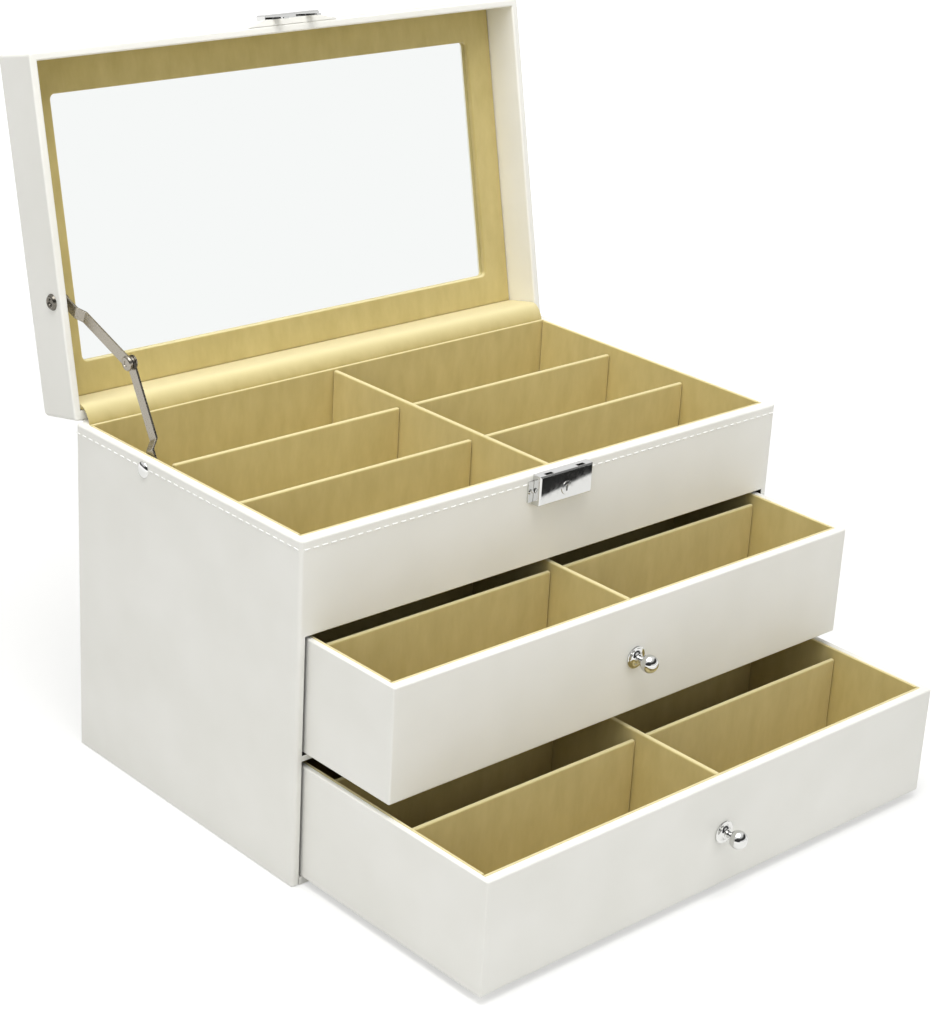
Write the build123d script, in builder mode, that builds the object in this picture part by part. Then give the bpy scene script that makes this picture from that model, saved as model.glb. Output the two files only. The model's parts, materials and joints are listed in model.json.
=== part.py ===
from build123d import *
import math
import os

# Eyewear storage box: a leatherette-covered case with a compartment tray under a
# mirrored lid and two pull-out drawers below it. Millimetres, X to the right, Y to
# the back, Z up, origin at the centre of the underside. It is modelled as it stands
# in use: the lid open on its folding stay and both drawers pulled out.

os.makedirs("parts", exist_ok=True)

# Overall case
body_width = 340.0
body_depth = 192.0
body_height = 190.0
lid_height = 32.0
lid_open_angle = 101.5
closing_gap = 1.0

# Boards
side_board = 4.5
front_board = 6.0
back_board = 4.5
base_board = 4.0
shelf_board = 4.0
tray_board = 3.5
cover_sheet = 0.8
corner_round = 2.0
rim_chamfer = 0.9
hinge_cloth = 0.4

# Velvet-covered linings and dividers
lining_board = 1.8
floor_lining = 1.0
lining_drop = 0.3
divider_board = 3.0
cross_divider_board = 2.8
centre_divider_drop = 1.0
cross_divider_drop = 5.5
divider_clearance = 0.15
divider_chamfer = 0.6
compartment_rows = 3

# Drawers
drawer_height = 62.5
drawer_floor_gap = 0.3
lower_drawer_top_gap = 3.4
upper_drawer_top_gap = 1.5
drawer_side_gap = 1.5
drawer_back_gap = 1.5
drawer_front_board = 5.0
drawer_wall_board = 3.2
drawer_floor_board = 3.0
drawer_edge_chamfer = 0.8
upper_drawer_pull = 64.0
lower_drawer_pull = 134.0

# Drawer knobs
rosette_radius = 6.2
rosette_height = 2.6
rosette_edge = 0.8
knob_radius = 4.9
knob_bands = 8
knob_reach = 10.0
knob_screw_radius = 1.5
knob_screw_head_radius = 3.0
knob_screw_head_height = 1.2
knob_screw_grip = 4.0
screw_clearance = 0.05

# Lid
lid_wall_board = 4.5
lid_top_board = 4.0
lid_top_chamfer = 1.6
lid_back_lining = 2.5
mirror_thickness = 2.5
mirror_lap = 10.0
mirror_frame_board = 3.0
mirror_frame_gap = 0.3
mirror_frame_border = 18.5
mirror_frame_corner = 3.0
mirror_frame_chamfer = 0.6

# Lock on the front of the case
lock_width = 38.0
lock_height = 16.5
lock_depth = 6.0
lock_wall = 1.0
lock_bevel = 0.8
lock_plate_width = 45.0
lock_plate_height = 11.6
lock_plate_thickness = 1.0
lock_plate_drop = 9.2
lock_notch_clearance = 0.1
cylinder_radius = 3.6
cylinder_drop = 9.7
cylinder_proud = 0.4
cylinder_flange_radius = 4.3
cylinder_flange = 0.4
cylinder_clearance = 0.05
cam_arm = 2.0
cam_turn = 90.0
cam_pin_radius = 0.7
cam_slot_clearance = 0.15
keyhole_radius = 1.0
keyhole_slot_width = 1.1
keyhole_slot_length = 3.4
keyhole_depth = 1.2
latch_height = 4.0
latch_arm = 1.0
latch_tooth = 2.4
latch_tooth_height = 1.6
latch_tooth_gap = 0.8
lock_screw_radius = 0.8
lock_screw_head_radius = 1.3
lock_screw_head_height = 0.7
lock_screw_length = 5.0

# Hasp on the front of the lid
prong_spacing = 22.8
prong_width = 4.2
prong_thickness = 1.2
prong_reach = 8.2
prong_hook = 2.2
prong_notch_clearance = 0.4
prong_tip = 0.5
slot_clearance = 0.6
pad_width = 62.0
pad_crown_width = 39.0
pad_height = 22.0
pad_crown_height = 16.0
pad_thickness = 3.2
pad_margin = 0.2
hasp_height = 8.0
hasp_bevel = 0.7
hasp_screw_spacing = 24.0
hasp_screw_radius = 1.0
hasp_screw_head_radius = 1.8
hasp_screw_head_height = 1.0
hasp_screw_bite = 3.8

# Folding stay on the left side
stay_body_pivot_inset = 62.0
stay_body_pivot_drop = 6.3
stay_lid_pivot_inset = 63.4
stay_lid_pivot_height = 8.5
stay_lower_length = 55.0
stay_upper_length = 59.1
stay_bar_width = 6.6
stay_bar = 1.2
stay_wall_gap = 0.4
stay_lower_step = 4.0
stay_upper_step = 2.5
stay_lower_step_start = 9.0
stay_upper_step_start = 12.0
stay_step_run = 5.0
stay_bend = 1.0
rivet_radius = 1.6
rivet_head_radius = 4.5
rivet_head_height = 1.6
rivet_head_bevel = 0.9
rivet_inner_head_radius = 3.0
rivet_inner_head_height = 1.1
rivet_eye_radius = 1.5
rivet_clearance = 0.05
rivet_gap = 0.1
middle_rivet_head_radius = 4.0
middle_rivet_head_height = 1.3
stay_notch_width = 9.0
stay_notch_depth = 8.5

# Places that follow from the sizes above
front_y = -body_depth / 2
back_y = body_depth / 2
board_back_y = back_y - cover_sheet
inner_x = body_width / 2 - side_board
inner_back_y = board_back_y - back_board
lower_bay_top = base_board + drawer_floor_gap + drawer_height + lower_drawer_top_gap
shelf_top = lower_bay_top + shelf_board
upper_bay_top = shelf_top + drawer_floor_gap + drawer_height + upper_drawer_top_gap
tray_floor_top = upper_bay_top + tray_board
tray_front_y = front_y + front_board
lined_x = inner_x - lining_board
front_plane = Plane.XZ.offset(body_depth / 2)

hinge_z = body_height + closing_gap / 2
lid_rim = closing_gap / 2
lid_swing = math.radians(lid_open_angle)
lid_plane = Plane(
    origin=(0, back_y, hinge_z),
    x_dir=(1, 0, 0),
    z_dir=(0, math.sin(lid_swing), math.cos(lid_swing)),
)
lid_back_y = -cover_sheet
lid_inner_x = body_width / 2 - lid_wall_board
lid_inner_front_y = -body_depth + lid_wall_board
lid_inner_back_y = lid_back_y - lid_wall_board
lid_board_top = lid_rim + lid_height - lid_top_board
mirror_floor = lid_board_top - mirror_thickness
mirror_frame_floor = mirror_floor - mirror_frame_board
lid_front_plane = Plane(
    origin=lid_plane.from_local_coords(Vector(0, -body_depth, 0)),
    x_dir=(1, 0, 0),
    z_dir=-lid_plane.y_dir,
)


def save(piece, name):
    """Label a finished piece and write it as a STEP file of the same name."""
    piece.part.label = name
    export_step(piece.part, f"parts/{name}.step")


# Case boards


def make_side(name, side):
    """One side board; side is -1 on the left and 1 on the right."""
    with BuildPart() as board:
        with BuildSketch(Plane.XY):
            with Locations((side * (inner_x + side_board / 2), (front_y + board_back_y) / 2)):
                Rectangle(side_board, board_back_y - front_y)
        extrude(amount=body_height)
        corners = board.edges().filter_by(Axis.Z).group_by(Axis.X)[0 if side < 0 else -1]
        fillet(corners, corner_round)
        top = board.faces().sort_by(Axis.Z)[-1].edges()
        outer = [edge for edge in top if abs(edge.center().X) > inner_x + rim_chamfer]
        chamfer(outer, rim_chamfer)
        if side < 0:
            with BuildSketch(Plane.YZ.offset(-body_width / 2 - side_board)):
                with Locations((body_pivot.Y, body_pivot.Z)):
                    Circle(rivet_radius + rivet_clearance)
            extrude(amount=3 * side_board, mode=Mode.SUBTRACT)
    save(board, name)


body_pivot = Vector(0, back_y - stay_body_pivot_inset, body_height - stay_body_pivot_drop)

make_side("left_side", -1)
make_side("right_side", 1)

with BuildPart() as back_panel:
    with BuildSketch(Plane.XY):
        with Locations((0, inner_back_y + back_board / 2)):
            Rectangle(2 * inner_x, back_board)
    extrude(amount=body_height)
save(back_panel, "back_panel")

with BuildPart() as back_cover:
    with BuildSketch(Plane.XY):
        with Locations((0, board_back_y + cover_sheet / 2)):
            Rectangle(body_width - 2 * corner_round, cover_sheet)
    extrude(amount=body_height)
save(back_cover, "back_cover")

with BuildPart() as base_panel:
    with BuildSketch(Plane.XY):
        with Locations((0, (front_y + inner_back_y) / 2)):
            Rectangle(2 * inner_x, inner_back_y - front_y)
    extrude(amount=base_board)
save(base_panel, "base_panel")

with BuildPart() as drawer_shelf:
    with BuildSketch(Plane.XY.offset(lower_bay_top)):
        with Locations((0, (front_y + inner_back_y) / 2)):
            Rectangle(2 * inner_x, inner_back_y - front_y)
    extrude(amount=shelf_board)
save(drawer_shelf, "drawer_shelf")

with BuildPart() as tray_floor:
    with BuildSketch(Plane.XY.offset(upper_bay_top)):
        with Locations((0, (tray_front_y + inner_back_y) / 2)):
            Rectangle(2 * inner_x, inner_back_y - tray_front_y)
    extrude(amount=tray_board)
save(tray_floor, "tray_floor")

lock_plate_z = body_height - lock_plate_drop
lock_screw_x = (lock_width + lock_plate_width) / 4

with BuildPart() as front_panel:
    with BuildSketch(Plane.XY.offset(upper_bay_top)):
        with Locations((0, front_y + front_board / 2)):
            Rectangle(2 * inner_x, front_board)
    extrude(amount=body_height - upper_bay_top)
    chamfer(
        front_panel.edges().filter_by(Axis.X).group_by(Axis.Z)[-1].sort_by(Axis.Y)[0],
        rim_chamfer,
    )
    with BuildSketch(front_plane):
        with Locations((-lock_screw_x, lock_plate_z), (lock_screw_x, lock_plate_z)):
            Circle(lock_screw_radius + screw_clearance)
    extrude(amount=-lock_screw_length, mode=Mode.SUBTRACT)
save(front_panel, "front_panel")


# Linings and dividers, the same in the tray and in the drawers


def make_lining(name, place, half_width, depth, height):
    """The velvet-covered band round the four inner walls, standing on the floor."""
    with BuildPart() as band:
        with BuildSketch(place):
            with Locations((0, depth / 2)):
                Rectangle(2 * half_width, depth)
                Rectangle(
                    2 * (half_width - lining_board), depth - 2 * lining_board, mode=Mode.SUBTRACT
                )
        extrude(amount=height)
        if name == "tray_lining":
            with BuildSketch(Plane.YZ.offset(-half_width - lining_board)):
                with Locations((body_pivot.Y, body_pivot.Z)):
                    Circle(rivet_radius + rivet_clearance)
            extrude(amount=3 * lining_board, mode=Mode.SUBTRACT)
    save(band, name)


def make_floor_lining(name, place, half_width, depth):
    """The velvet sheet on the floor, inside the band."""
    with BuildPart() as sheet:
        with BuildSketch(place):
            with Locations((0, depth / 2)):
                Rectangle(2 * (half_width - lining_board), depth - 2 * lining_board)
        extrude(amount=floor_lining)
    save(sheet, name)


def cross_places(depth):
    """Distances of the cross dividers' middles from the front of the lined space."""
    rows = compartment_rows
    clear = (depth - 2 * lining_board - (rows - 1) * cross_divider_board) / rows
    return [
        lining_board + (row + 1) * clear + (row + 0.5) * cross_divider_board
        for row in range(rows - 1)
    ]


def make_centre_divider(name, place, depth, rim_height):
    """The board from front to back, with half-lap slots from below for the cross boards."""
    height = rim_height - centre_divider_drop - floor_lining
    lap = (rim_height - cross_divider_drop - floor_lining) / 2
    length = depth - 2 * lining_board - 2 * divider_clearance
    with BuildPart() as board:
        with BuildSketch(place.offset(floor_lining)):
            with Locations((0, depth / 2)):
                Rectangle(divider_board, length)
        extrude(amount=height)
        chamfer(board.edges().filter_by(Axis.Y).group_by(Axis.Z)[-1], divider_chamfer)
        with BuildSketch(place.offset(floor_lining)):
            with Locations(*[(0, y) for y in cross_places(depth)]):
                Rectangle(2 * divider_board, cross_divider_board + 2 * divider_clearance)
        extrude(amount=lap + divider_clearance, mode=Mode.SUBTRACT)
    save(board, name)


def make_cross_dividers(name, place, half_width, depth, rim_height, stay_notch=False):
    """The boards from side to side, each slotted from above over the centre board."""
    height = rim_height - cross_divider_drop - floor_lining
    lap = height / 2
    half_length = half_width - lining_board - divider_clearance
    with BuildPart() as boards:
        with BuildSketch(place.offset(floor_lining)):
            with Locations(*[(0, y) for y in cross_places(depth)]):
                Rectangle(2 * half_length, cross_divider_board)
        extrude(amount=height)
        chamfer(boards.edges().filter_by(Axis.X).group_by(Axis.Z)[-1], divider_chamfer)
        with BuildSketch(place.offset(floor_lining + lap)):
            with Locations((0, depth / 2)):
                Rectangle(divider_board + 2 * divider_clearance, depth)
        extrude(amount=height, mode=Mode.SUBTRACT)
        if stay_notch:
            with BuildSketch(place.offset(floor_lining + height - stay_notch_depth)):
                with Locations((-half_length, cross_places(depth)[-1])):
                    Rectangle(2 * stay_notch_width, 2 * cross_divider_board)
            extrude(amount=height, mode=Mode.SUBTRACT)
    save(boards, name)


def make_inserts(prefix, place, half_width, depth, rim_height, stay_notch=False):
    """All of the velvet work that fills one open box."""
    make_lining(f"{prefix}_lining", place, half_width, depth, rim_height - lining_drop)
    make_floor_lining(f"{prefix}_floor_lining", place, half_width, depth)
    make_centre_divider(f"{prefix}_centre_divider", place, depth, rim_height)
    make_cross_dividers(
        f"{prefix}_cross_dividers", place, half_width, depth, rim_height, stay_notch
    )


tray_place = Plane((0, tray_front_y, tray_floor_top))
make_inserts(
    "tray",
    tray_place,
    inner_x,
    inner_back_y - tray_front_y,
    body_height - tray_floor_top,
    stay_notch=True,
)


# Drawers


def make_knob(prefix, face_y, middle_z):
    """A turned rosette and ball knob, with the screw that holds them from inside."""
    turning = Plane(origin=(0, face_y, middle_z), x_dir=(0, -1, 0), z_dir=(1, 0, 0))
    turning_axis = Axis((0, face_y, middle_z), (0, -1, 0))
    screw_hole = knob_screw_radius + screw_clearance
    # The ball's outline is an octagon round a circle, and the neck is as wide as one side.
    half_band = knob_radius * math.tan(math.pi / knob_bands)

    with BuildPart() as rosette:
        with BuildSketch(turning):
            with BuildLine():
                Polyline(
                    (0, screw_hole),
                    (0, rosette_radius),
                    (rosette_edge, rosette_radius),
                    (rosette_height, half_band + rosette_edge),
                    (rosette_height, screw_hole),
                    close=True,
                )
            make_face()
        revolve(axis=turning_axis)
    save(rosette, f"{prefix}_rosette")

    hole_end = rosette_height + knob_screw_grip + screw_clearance
    with BuildPart() as knob:
        with BuildSketch(turning):
            with BuildLine():
                Polyline(
                    (hole_end, 0),
                    (hole_end, screw_hole),
                    (rosette_height, screw_hole),
                    (rosette_height, half_band),
                    (knob_reach - knob_radius, half_band),
                    (knob_reach - half_band, knob_radius),
                    (knob_reach + half_band, knob_radius),
                    (knob_reach + knob_radius, half_band),
                    (knob_reach + knob_radius, 0),
                    close=True,
                )
            make_face()
        revolve(axis=turning_axis)
    save(knob, f"{prefix}_knob")

    inner_face = turning.origin + Vector(0, drawer_front_board, 0)
    with BuildPart() as screw:
        with BuildSketch(Plane.XZ.offset(-inner_face.Y)):
            with Locations((0, middle_z)):
                Circle(knob_screw_head_radius)
        extrude(amount=knob_screw_head_height)
        with BuildSketch(Plane.XZ.offset(-inner_face.Y)):
            with Locations((0, middle_z)):
                Circle(knob_screw_radius)
        extrude(amount=drawer_front_board + rosette_height + knob_screw_grip)
    save(screw, f"{prefix}_knob_screw")


def make_drawer(prefix, floor_z, pull):
    """One drawer box, pulled out by the given distance."""
    half_width = inner_x - drawer_side_gap
    inner_half = half_width - drawer_wall_board
    depth = inner_back_y - drawer_back_gap - front_y
    face_y = front_y - pull
    place = Plane((0, face_y, floor_z))
    middle_z = floor_z + drawer_height / 2

    with BuildPart() as front:
        with BuildSketch(place):
            with Locations((0, drawer_front_board / 2)):
                Rectangle(2 * half_width, drawer_front_board)
        extrude(amount=drawer_height)
        face = front.faces().sort_by(Axis.Y)[0]
        chamfer(face.edges(), drawer_edge_chamfer)
        with BuildSketch(Plane.XZ.offset(-face_y - drawer_front_board)):
            with Locations((0, middle_z)):
                Circle(knob_screw_radius + screw_clearance)
        extrude(amount=drawer_front_board, mode=Mode.SUBTRACT)
        with BuildSketch(Plane.XZ.offset(-face_y - drawer_front_board)):
            with Locations((0, middle_z)):
                Circle(knob_screw_head_radius + screw_clearance)
        extrude(amount=knob_screw_head_height + screw_clearance, mode=Mode.SUBTRACT)
    save(front, f"{prefix}_front")

    for side_name, side in (("left", -1), ("right", 1)):
        with BuildPart() as wall:
            with BuildSketch(place):
                with Locations(
                    (
                        side * (half_width - drawer_wall_board / 2),
                        (drawer_front_board + depth) / 2,
                    )
                ):
                    Rectangle(drawer_wall_board, depth - drawer_front_board)
            extrude(amount=drawer_height)
            outer = wall.edges().filter_by(Axis.Y).group_by(Axis.Z)[-1].sort_by(Axis.X)
            chamfer(outer[0] if side < 0 else outer[-1], drawer_edge_chamfer)
        save(wall, f"{prefix}_{side_name}_wall")

    with BuildPart() as back:
        with BuildSketch(place):
            with Locations((0, depth - drawer_wall_board / 2)):
                Rectangle(2 * inner_half, drawer_wall_board)
        extrude(amount=drawer_height)
    save(back, f"{prefix}_back_wall")

    inner_depth = depth - drawer_front_board - drawer_wall_board
    with BuildPart() as floor:
        with BuildSketch(place):
            with Locations((0, drawer_front_board + inner_depth / 2)):
                Rectangle(2 * inner_half, inner_depth)
        extrude(amount=drawer_floor_board)
    save(floor, f"{prefix}_floor")

    insert_place = Plane((0, face_y + drawer_front_board, floor_z + drawer_floor_board))
    make_inserts(
        prefix, insert_place, inner_half, inner_depth, drawer_height - drawer_floor_board
    )
    make_knob(prefix, face_y, middle_z)


make_drawer("lower_drawer", base_board + drawer_floor_gap, lower_drawer_pull)
make_drawer("upper_drawer", shelf_top + drawer_floor_gap, upper_drawer_pull)


# Lid


def make_lid_wall(name, corners):
    """One mitred wall: the part of the rounded rim frame inside the given outline."""
    with BuildPart() as wall:
        with BuildSketch(lid_plane.offset(lid_rim)):
            with Locations((0, (lid_back_y - body_depth) / 2)):
                RectangleRounded(body_width, body_depth + lid_back_y, corner_round)
            with BuildLine():
                Polyline(*corners, close=True)
            make_face(mode=Mode.INTERSECT)
        extrude(amount=lid_board_top - lid_rim)
        if name == "lid_left_wall":
            with BuildSketch(Plane.YZ.offset(-body_width / 2 - lid_wall_board)):
                with Locations((lid_pivot.Y, lid_pivot.Z)):
                    Circle(rivet_radius + rivet_clearance)
            extrude(amount=3 * lid_wall_board, mode=Mode.SUBTRACT)
        if name == "lid_front_wall":
            with BuildSketch(lid_front_plane):
                with Locations(*hasp_screw_places):
                    Circle(hasp_screw_radius + screw_clearance)
            extrude(amount=-hasp_screw_bite - screw_clearance, mode=Mode.SUBTRACT)
    save(wall, name)


lid_pivot = lid_plane.from_local_coords(
    Vector(0, -stay_lid_pivot_inset, stay_lid_pivot_height)
)
hasp_floor = lid_rim + pad_margin
hasp_screw_z = hasp_floor + hasp_height / 2
hasp_screw_places = [
    (-hasp_screw_spacing / 2, hasp_screw_z),
    (hasp_screw_spacing / 2, hasp_screw_z),
]

outer_left = -body_width / 2
outer_right = body_width / 2
lid_corners = {
    "lid_front_wall": [
        (outer_left, -body_depth),
        (outer_right, -body_depth),
        (lid_inner_x, lid_inner_front_y),
        (-lid_inner_x, lid_inner_front_y),
    ],
    "lid_back_wall": [
        (outer_left, lid_back_y),
        (-lid_inner_x, lid_inner_back_y),
        (lid_inner_x, lid_inner_back_y),
        (outer_right, lid_back_y),
    ],
    "lid_left_wall": [
        (outer_left, -body_depth),
        (-lid_inner_x, lid_inner_front_y),
        (-lid_inner_x, lid_inner_back_y),
        (outer_left, lid_back_y),
    ],
    "lid_right_wall": [
        (outer_right, -body_depth),
        (outer_right, lid_back_y),
        (lid_inner_x, lid_inner_back_y),
        (lid_inner_x, lid_inner_front_y),
    ],
}
for wall_name, wall_corners in lid_corners.items():
    make_lid_wall(wall_name, wall_corners)

with BuildPart() as lid_top_panel:
    with BuildSketch(lid_plane.offset(lid_board_top)):
        with Locations((0, (lid_back_y - body_depth) / 2)):
            RectangleRounded(body_width, body_depth + lid_back_y, corner_round)
    extrude(amount=lid_top_board)
    outside = lid_top_panel.faces().sort_by(Axis(lid_plane.origin, lid_plane.z_dir))[-1]
    chamfer(outside.edges(), lid_top_chamfer)
save(lid_top_panel, "lid_top_panel")

with BuildPart() as lid_cover:
    with BuildSketch(lid_plane.offset(lid_rim)):
        with Locations((0, -cover_sheet / 2)):
            Rectangle(body_width - 2 * corner_round, cover_sheet)
    extrude(amount=lid_height - lid_top_chamfer)
save(lid_cover, "lid_back_cover")

frame_front_y = lid_inner_front_y + mirror_frame_gap
frame_back_y = lid_inner_back_y - lid_back_lining - mirror_frame_gap
frame_half_width = lid_inner_x - mirror_frame_gap
frame_depth = frame_back_y - frame_front_y
frame_middle_y = (frame_front_y + frame_back_y) / 2
opening_width = 2 * (frame_half_width - mirror_frame_border)
opening_depth = frame_depth - 2 * mirror_frame_border

with BuildPart() as mirror_frame:
    with BuildSketch(lid_plane.offset(mirror_frame_floor)):
        with Locations((0, frame_middle_y)):
            Rectangle(2 * frame_half_width, frame_depth)
            RectangleRounded(
                opening_width, opening_depth, mirror_frame_corner, mode=Mode.SUBTRACT
            )
    extrude(amount=mirror_frame_board)
    visible = mirror_frame.faces().sort_by(Axis(lid_plane.origin, lid_plane.z_dir))[0]
    chamfer(visible.edges(), mirror_frame_chamfer)
save(mirror_frame, "mirror_frame")

with BuildPart() as mirror:
    with BuildSketch(lid_plane.offset(mirror_floor)):
        with Locations((0, frame_middle_y)):
            Rectangle(opening_width + 2 * mirror_lap, opening_depth + 2 * mirror_lap)
    extrude(amount=mirror_thickness)
save(mirror, "mirror")

with BuildPart() as back_lining:
    with BuildSketch(lid_plane.offset(lid_rim)):
        with Locations((0, lid_inner_back_y - lid_back_lining / 2)):
            Rectangle(2 * lid_inner_x, lid_back_lining)
    extrude(amount=mirror_frame_floor + mirror_frame_board - lid_rim)
save(back_lining, "lid_back_lining")


# Hinge lining: the velvet strip over the back rim, inside the leatherette hinge

with BuildPart() as hinge_lining:
    with BuildSketch(Plane.XY.offset(body_height)):
        with Locations((0, (inner_back_y - lining_board + board_back_y) / 2)):
            Rectangle(2 * lined_x, board_back_y - inner_back_y + lining_board)
    extrude(amount=hinge_cloth)
save(hinge_lining, "hinge_lining")


# Hasp


def hasp_offset(distance):
    """The plane parallel to the lid's front at the given distance in front of it."""
    return lid_front_plane.offset(distance)


pad_from_below = Plane(
    origin=lid_front_plane.origin, x_dir=(1, 0, 0), z_dir=-lid_plane.z_dir
)
pad_from_side = Plane(
    origin=lid_front_plane.origin, x_dir=lid_plane.z_dir, z_dir=(1, 0, 0)
)

with BuildPart() as hasp_pad:
    with BuildSketch(pad_from_below):
        with BuildLine():
            Polyline(
                (-pad_width / 2, 0),
                (pad_width / 2, 0),
                (pad_crown_width / 2, pad_thickness),
                (-pad_crown_width / 2, pad_thickness),
                close=True,
            )
        make_face()
    extrude(amount=-(lid_rim + pad_height))
    with BuildSketch(pad_from_side):
        with BuildLine():
            Polyline(
                (lid_rim, 0),
                (lid_rim + pad_height, 0),
                (hasp_floor + pad_crown_height, pad_thickness),
                (hasp_floor, pad_thickness),
                close=True,
            )
        make_face()
    extrude(amount=pad_width / 2, both=True, mode=Mode.INTERSECT)
    with BuildSketch(hasp_offset(0)):
        with Locations(*hasp_screw_places):
            Circle(hasp_screw_radius + screw_clearance)
    extrude(amount=pad_thickness, mode=Mode.SUBTRACT)
save(hasp_pad, "hasp_pad")

hasp_thickness = lock_depth - pad_thickness
prong_tip_z = body_height - prong_reach - hinge_z
latch_travel = 2 * cam_arm * math.sin(math.radians(cam_turn / 2))
notch_height = latch_tooth_height + 2 * prong_notch_clearance
notch_depth = latch_travel - latch_tooth_gap + prong_notch_clearance
notch_z = prong_tip_z + prong_hook + notch_height / 2

with BuildPart() as hasp:
    with BuildSketch(hasp_offset(pad_thickness)):
        with Locations((0, hasp_floor + hasp_height / 2)):
            Rectangle(lock_width, hasp_height)
    extrude(amount=hasp_thickness)
    outside = hasp.faces().sort_by(Axis(lid_front_plane.origin, lid_front_plane.z_dir))[-1]
    chamfer(outside.edges(), hasp_bevel)
    with BuildSketch(hasp_offset(pad_thickness)):
        with Locations(
            (-prong_spacing / 2, (prong_tip_z + hasp_floor) / 2),
            (prong_spacing / 2, (prong_tip_z + hasp_floor) / 2),
        ):
            Rectangle(prong_width, hasp_floor - prong_tip_z)
    extrude(amount=prong_thickness)
    tips = hasp.edges().filter_by(Axis(lid_front_plane.origin, lid_front_plane.z_dir))
    tip_axis = Axis(lid_plane.origin, lid_plane.z_dir)
    chamfer(tips.group_by(tip_axis)[0], prong_tip)
    with BuildSketch(hasp_offset(pad_thickness)):
        with Locations(
            (-(prong_spacing + prong_width) / 2, notch_z),
            ((prong_spacing - prong_width) / 2, notch_z),
        ):
            Rectangle(2 * notch_depth, notch_height)
    extrude(amount=prong_thickness, mode=Mode.SUBTRACT)
    with BuildSketch(hasp_offset(pad_thickness)):
        with Locations(*hasp_screw_places):
            Circle(hasp_screw_radius + screw_clearance)
    extrude(amount=hasp_thickness, mode=Mode.SUBTRACT)
    with BuildSketch(hasp_offset(pad_thickness + hasp_thickness)):
        with Locations(*hasp_screw_places):
            Circle(hasp_screw_head_radius + screw_clearance)
    extrude(amount=-hasp_screw_head_height, mode=Mode.SUBTRACT)
save(hasp, "hasp")

with BuildPart() as hasp_screws:
    with BuildSketch(hasp_offset(pad_thickness + hasp_thickness)):
        with Locations(*hasp_screw_places):
            Circle(hasp_screw_head_radius)
    extrude(amount=-hasp_screw_head_height)
    with BuildSketch(hasp_offset(pad_thickness + hasp_thickness - hasp_screw_head_height)):
        with Locations(*hasp_screw_places):
            Circle(hasp_screw_radius)
    extrude(amount=hasp_screw_head_height - lock_depth - hasp_screw_bite)
save(hasp_screws, "hasp_screws")


# Lock

lock_middle_z = body_height - lock_height / 2
cylinder_z = body_height - cylinder_drop
cavity_front = lock_depth - lock_wall
prong_plane = pad_thickness
slot_front = prong_plane + prong_thickness + slot_clearance
slot_back = prong_plane - slot_clearance

with BuildPart() as lock_plate:
    with BuildSketch(front_plane):
        with Locations((0, lock_plate_z)):
            Rectangle(lock_plate_width, lock_plate_height)
        with Locations((-lock_screw_x, lock_plate_z), (lock_screw_x, lock_plate_z)):
            Circle(lock_screw_radius + screw_clearance, mode=Mode.SUBTRACT)
    extrude(amount=lock_plate_thickness)
save(lock_plate, "lock_back_plate")

with BuildPart() as lock_case:
    with BuildSketch(front_plane):
        with Locations((0, lock_middle_z)):
            Rectangle(lock_width, lock_height)
    extrude(amount=lock_depth)
    chamfer(lock_case.faces().sort_by(Axis.Y)[0].edges(), lock_bevel)
    with BuildSketch(front_plane):
        with Locations((0, lock_middle_z)):
            Rectangle(lock_width - 2 * lock_wall, lock_height - 2 * lock_wall)
    extrude(amount=cavity_front, mode=Mode.SUBTRACT)
    with BuildSketch(front_plane):
        with Locations((0, lock_plate_z)):
            Rectangle(lock_plate_width, lock_plate_height + 2 * lock_notch_clearance)
    extrude(amount=lock_plate_thickness + lock_notch_clearance, mode=Mode.SUBTRACT)
    with BuildSketch(front_plane):
        with Locations((0, cylinder_z)):
            Circle(cylinder_radius + cylinder_clearance)
    extrude(amount=lock_depth, mode=Mode.SUBTRACT)
    with BuildSketch(Plane.XY.offset(body_height)):
        with Locations(
            (-prong_spacing / 2, front_y - (slot_front + slot_back) / 2),
            (prong_spacing / 2, front_y - (slot_front + slot_back) / 2),
        ):
            Rectangle(prong_width + 2 * slot_clearance, slot_front - slot_back)
    extrude(amount=-2 * lock_wall, mode=Mode.SUBTRACT)
save(lock_case, "lock_case")

with BuildPart() as lock_screws:
    with BuildSketch(front_plane.offset(lock_plate_thickness)):
        with Locations((-lock_screw_x, lock_plate_z), (lock_screw_x, lock_plate_z)):
            Circle(lock_screw_head_radius)
    extrude(amount=lock_screw_head_height)
    with BuildSketch(front_plane.offset(lock_plate_thickness)):
        with Locations((-lock_screw_x, lock_plate_z), (lock_screw_x, lock_plate_z)):
            Circle(lock_screw_radius)
    extrude(amount=-(lock_plate_thickness + lock_screw_length - screw_clearance))
save(lock_screws, "lock_screws")

cam_x = -latch_travel / 2
cam_z = cylinder_z - cam_arm * math.cos(math.radians(cam_turn / 2))
flange_back = cavity_front - cylinder_clearance - cylinder_flange

with BuildPart() as lock_cylinder:
    with BuildSketch(front_plane.offset(flange_back)):
        with Locations((0, cylinder_z)):
            Circle(cylinder_flange_radius)
    extrude(amount=cylinder_flange)
    with BuildSketch(front_plane.offset(flange_back)):
        with Locations((0, cylinder_z)):
            Circle(cylinder_radius)
    extrude(amount=lock_depth + cylinder_proud - flange_back)
    with BuildSketch(front_plane.offset(lock_depth + cylinder_proud)):
        with Locations((0, cylinder_z + keyhole_slot_length / 2 - keyhole_radius)):
            Circle(keyhole_radius)
        with Locations((0, cylinder_z)):
            Rectangle(keyhole_slot_width, keyhole_slot_length)
    extrude(amount=-keyhole_depth, mode=Mode.SUBTRACT)
    with BuildSketch(front_plane.offset(flange_back)):
        with Locations((cam_x, cam_z)):
            Circle(cam_pin_radius)
    extrude(amount=-(flange_back - prong_plane + cam_slot_clearance))
save(lock_cylinder, "lock_cylinder")

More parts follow.
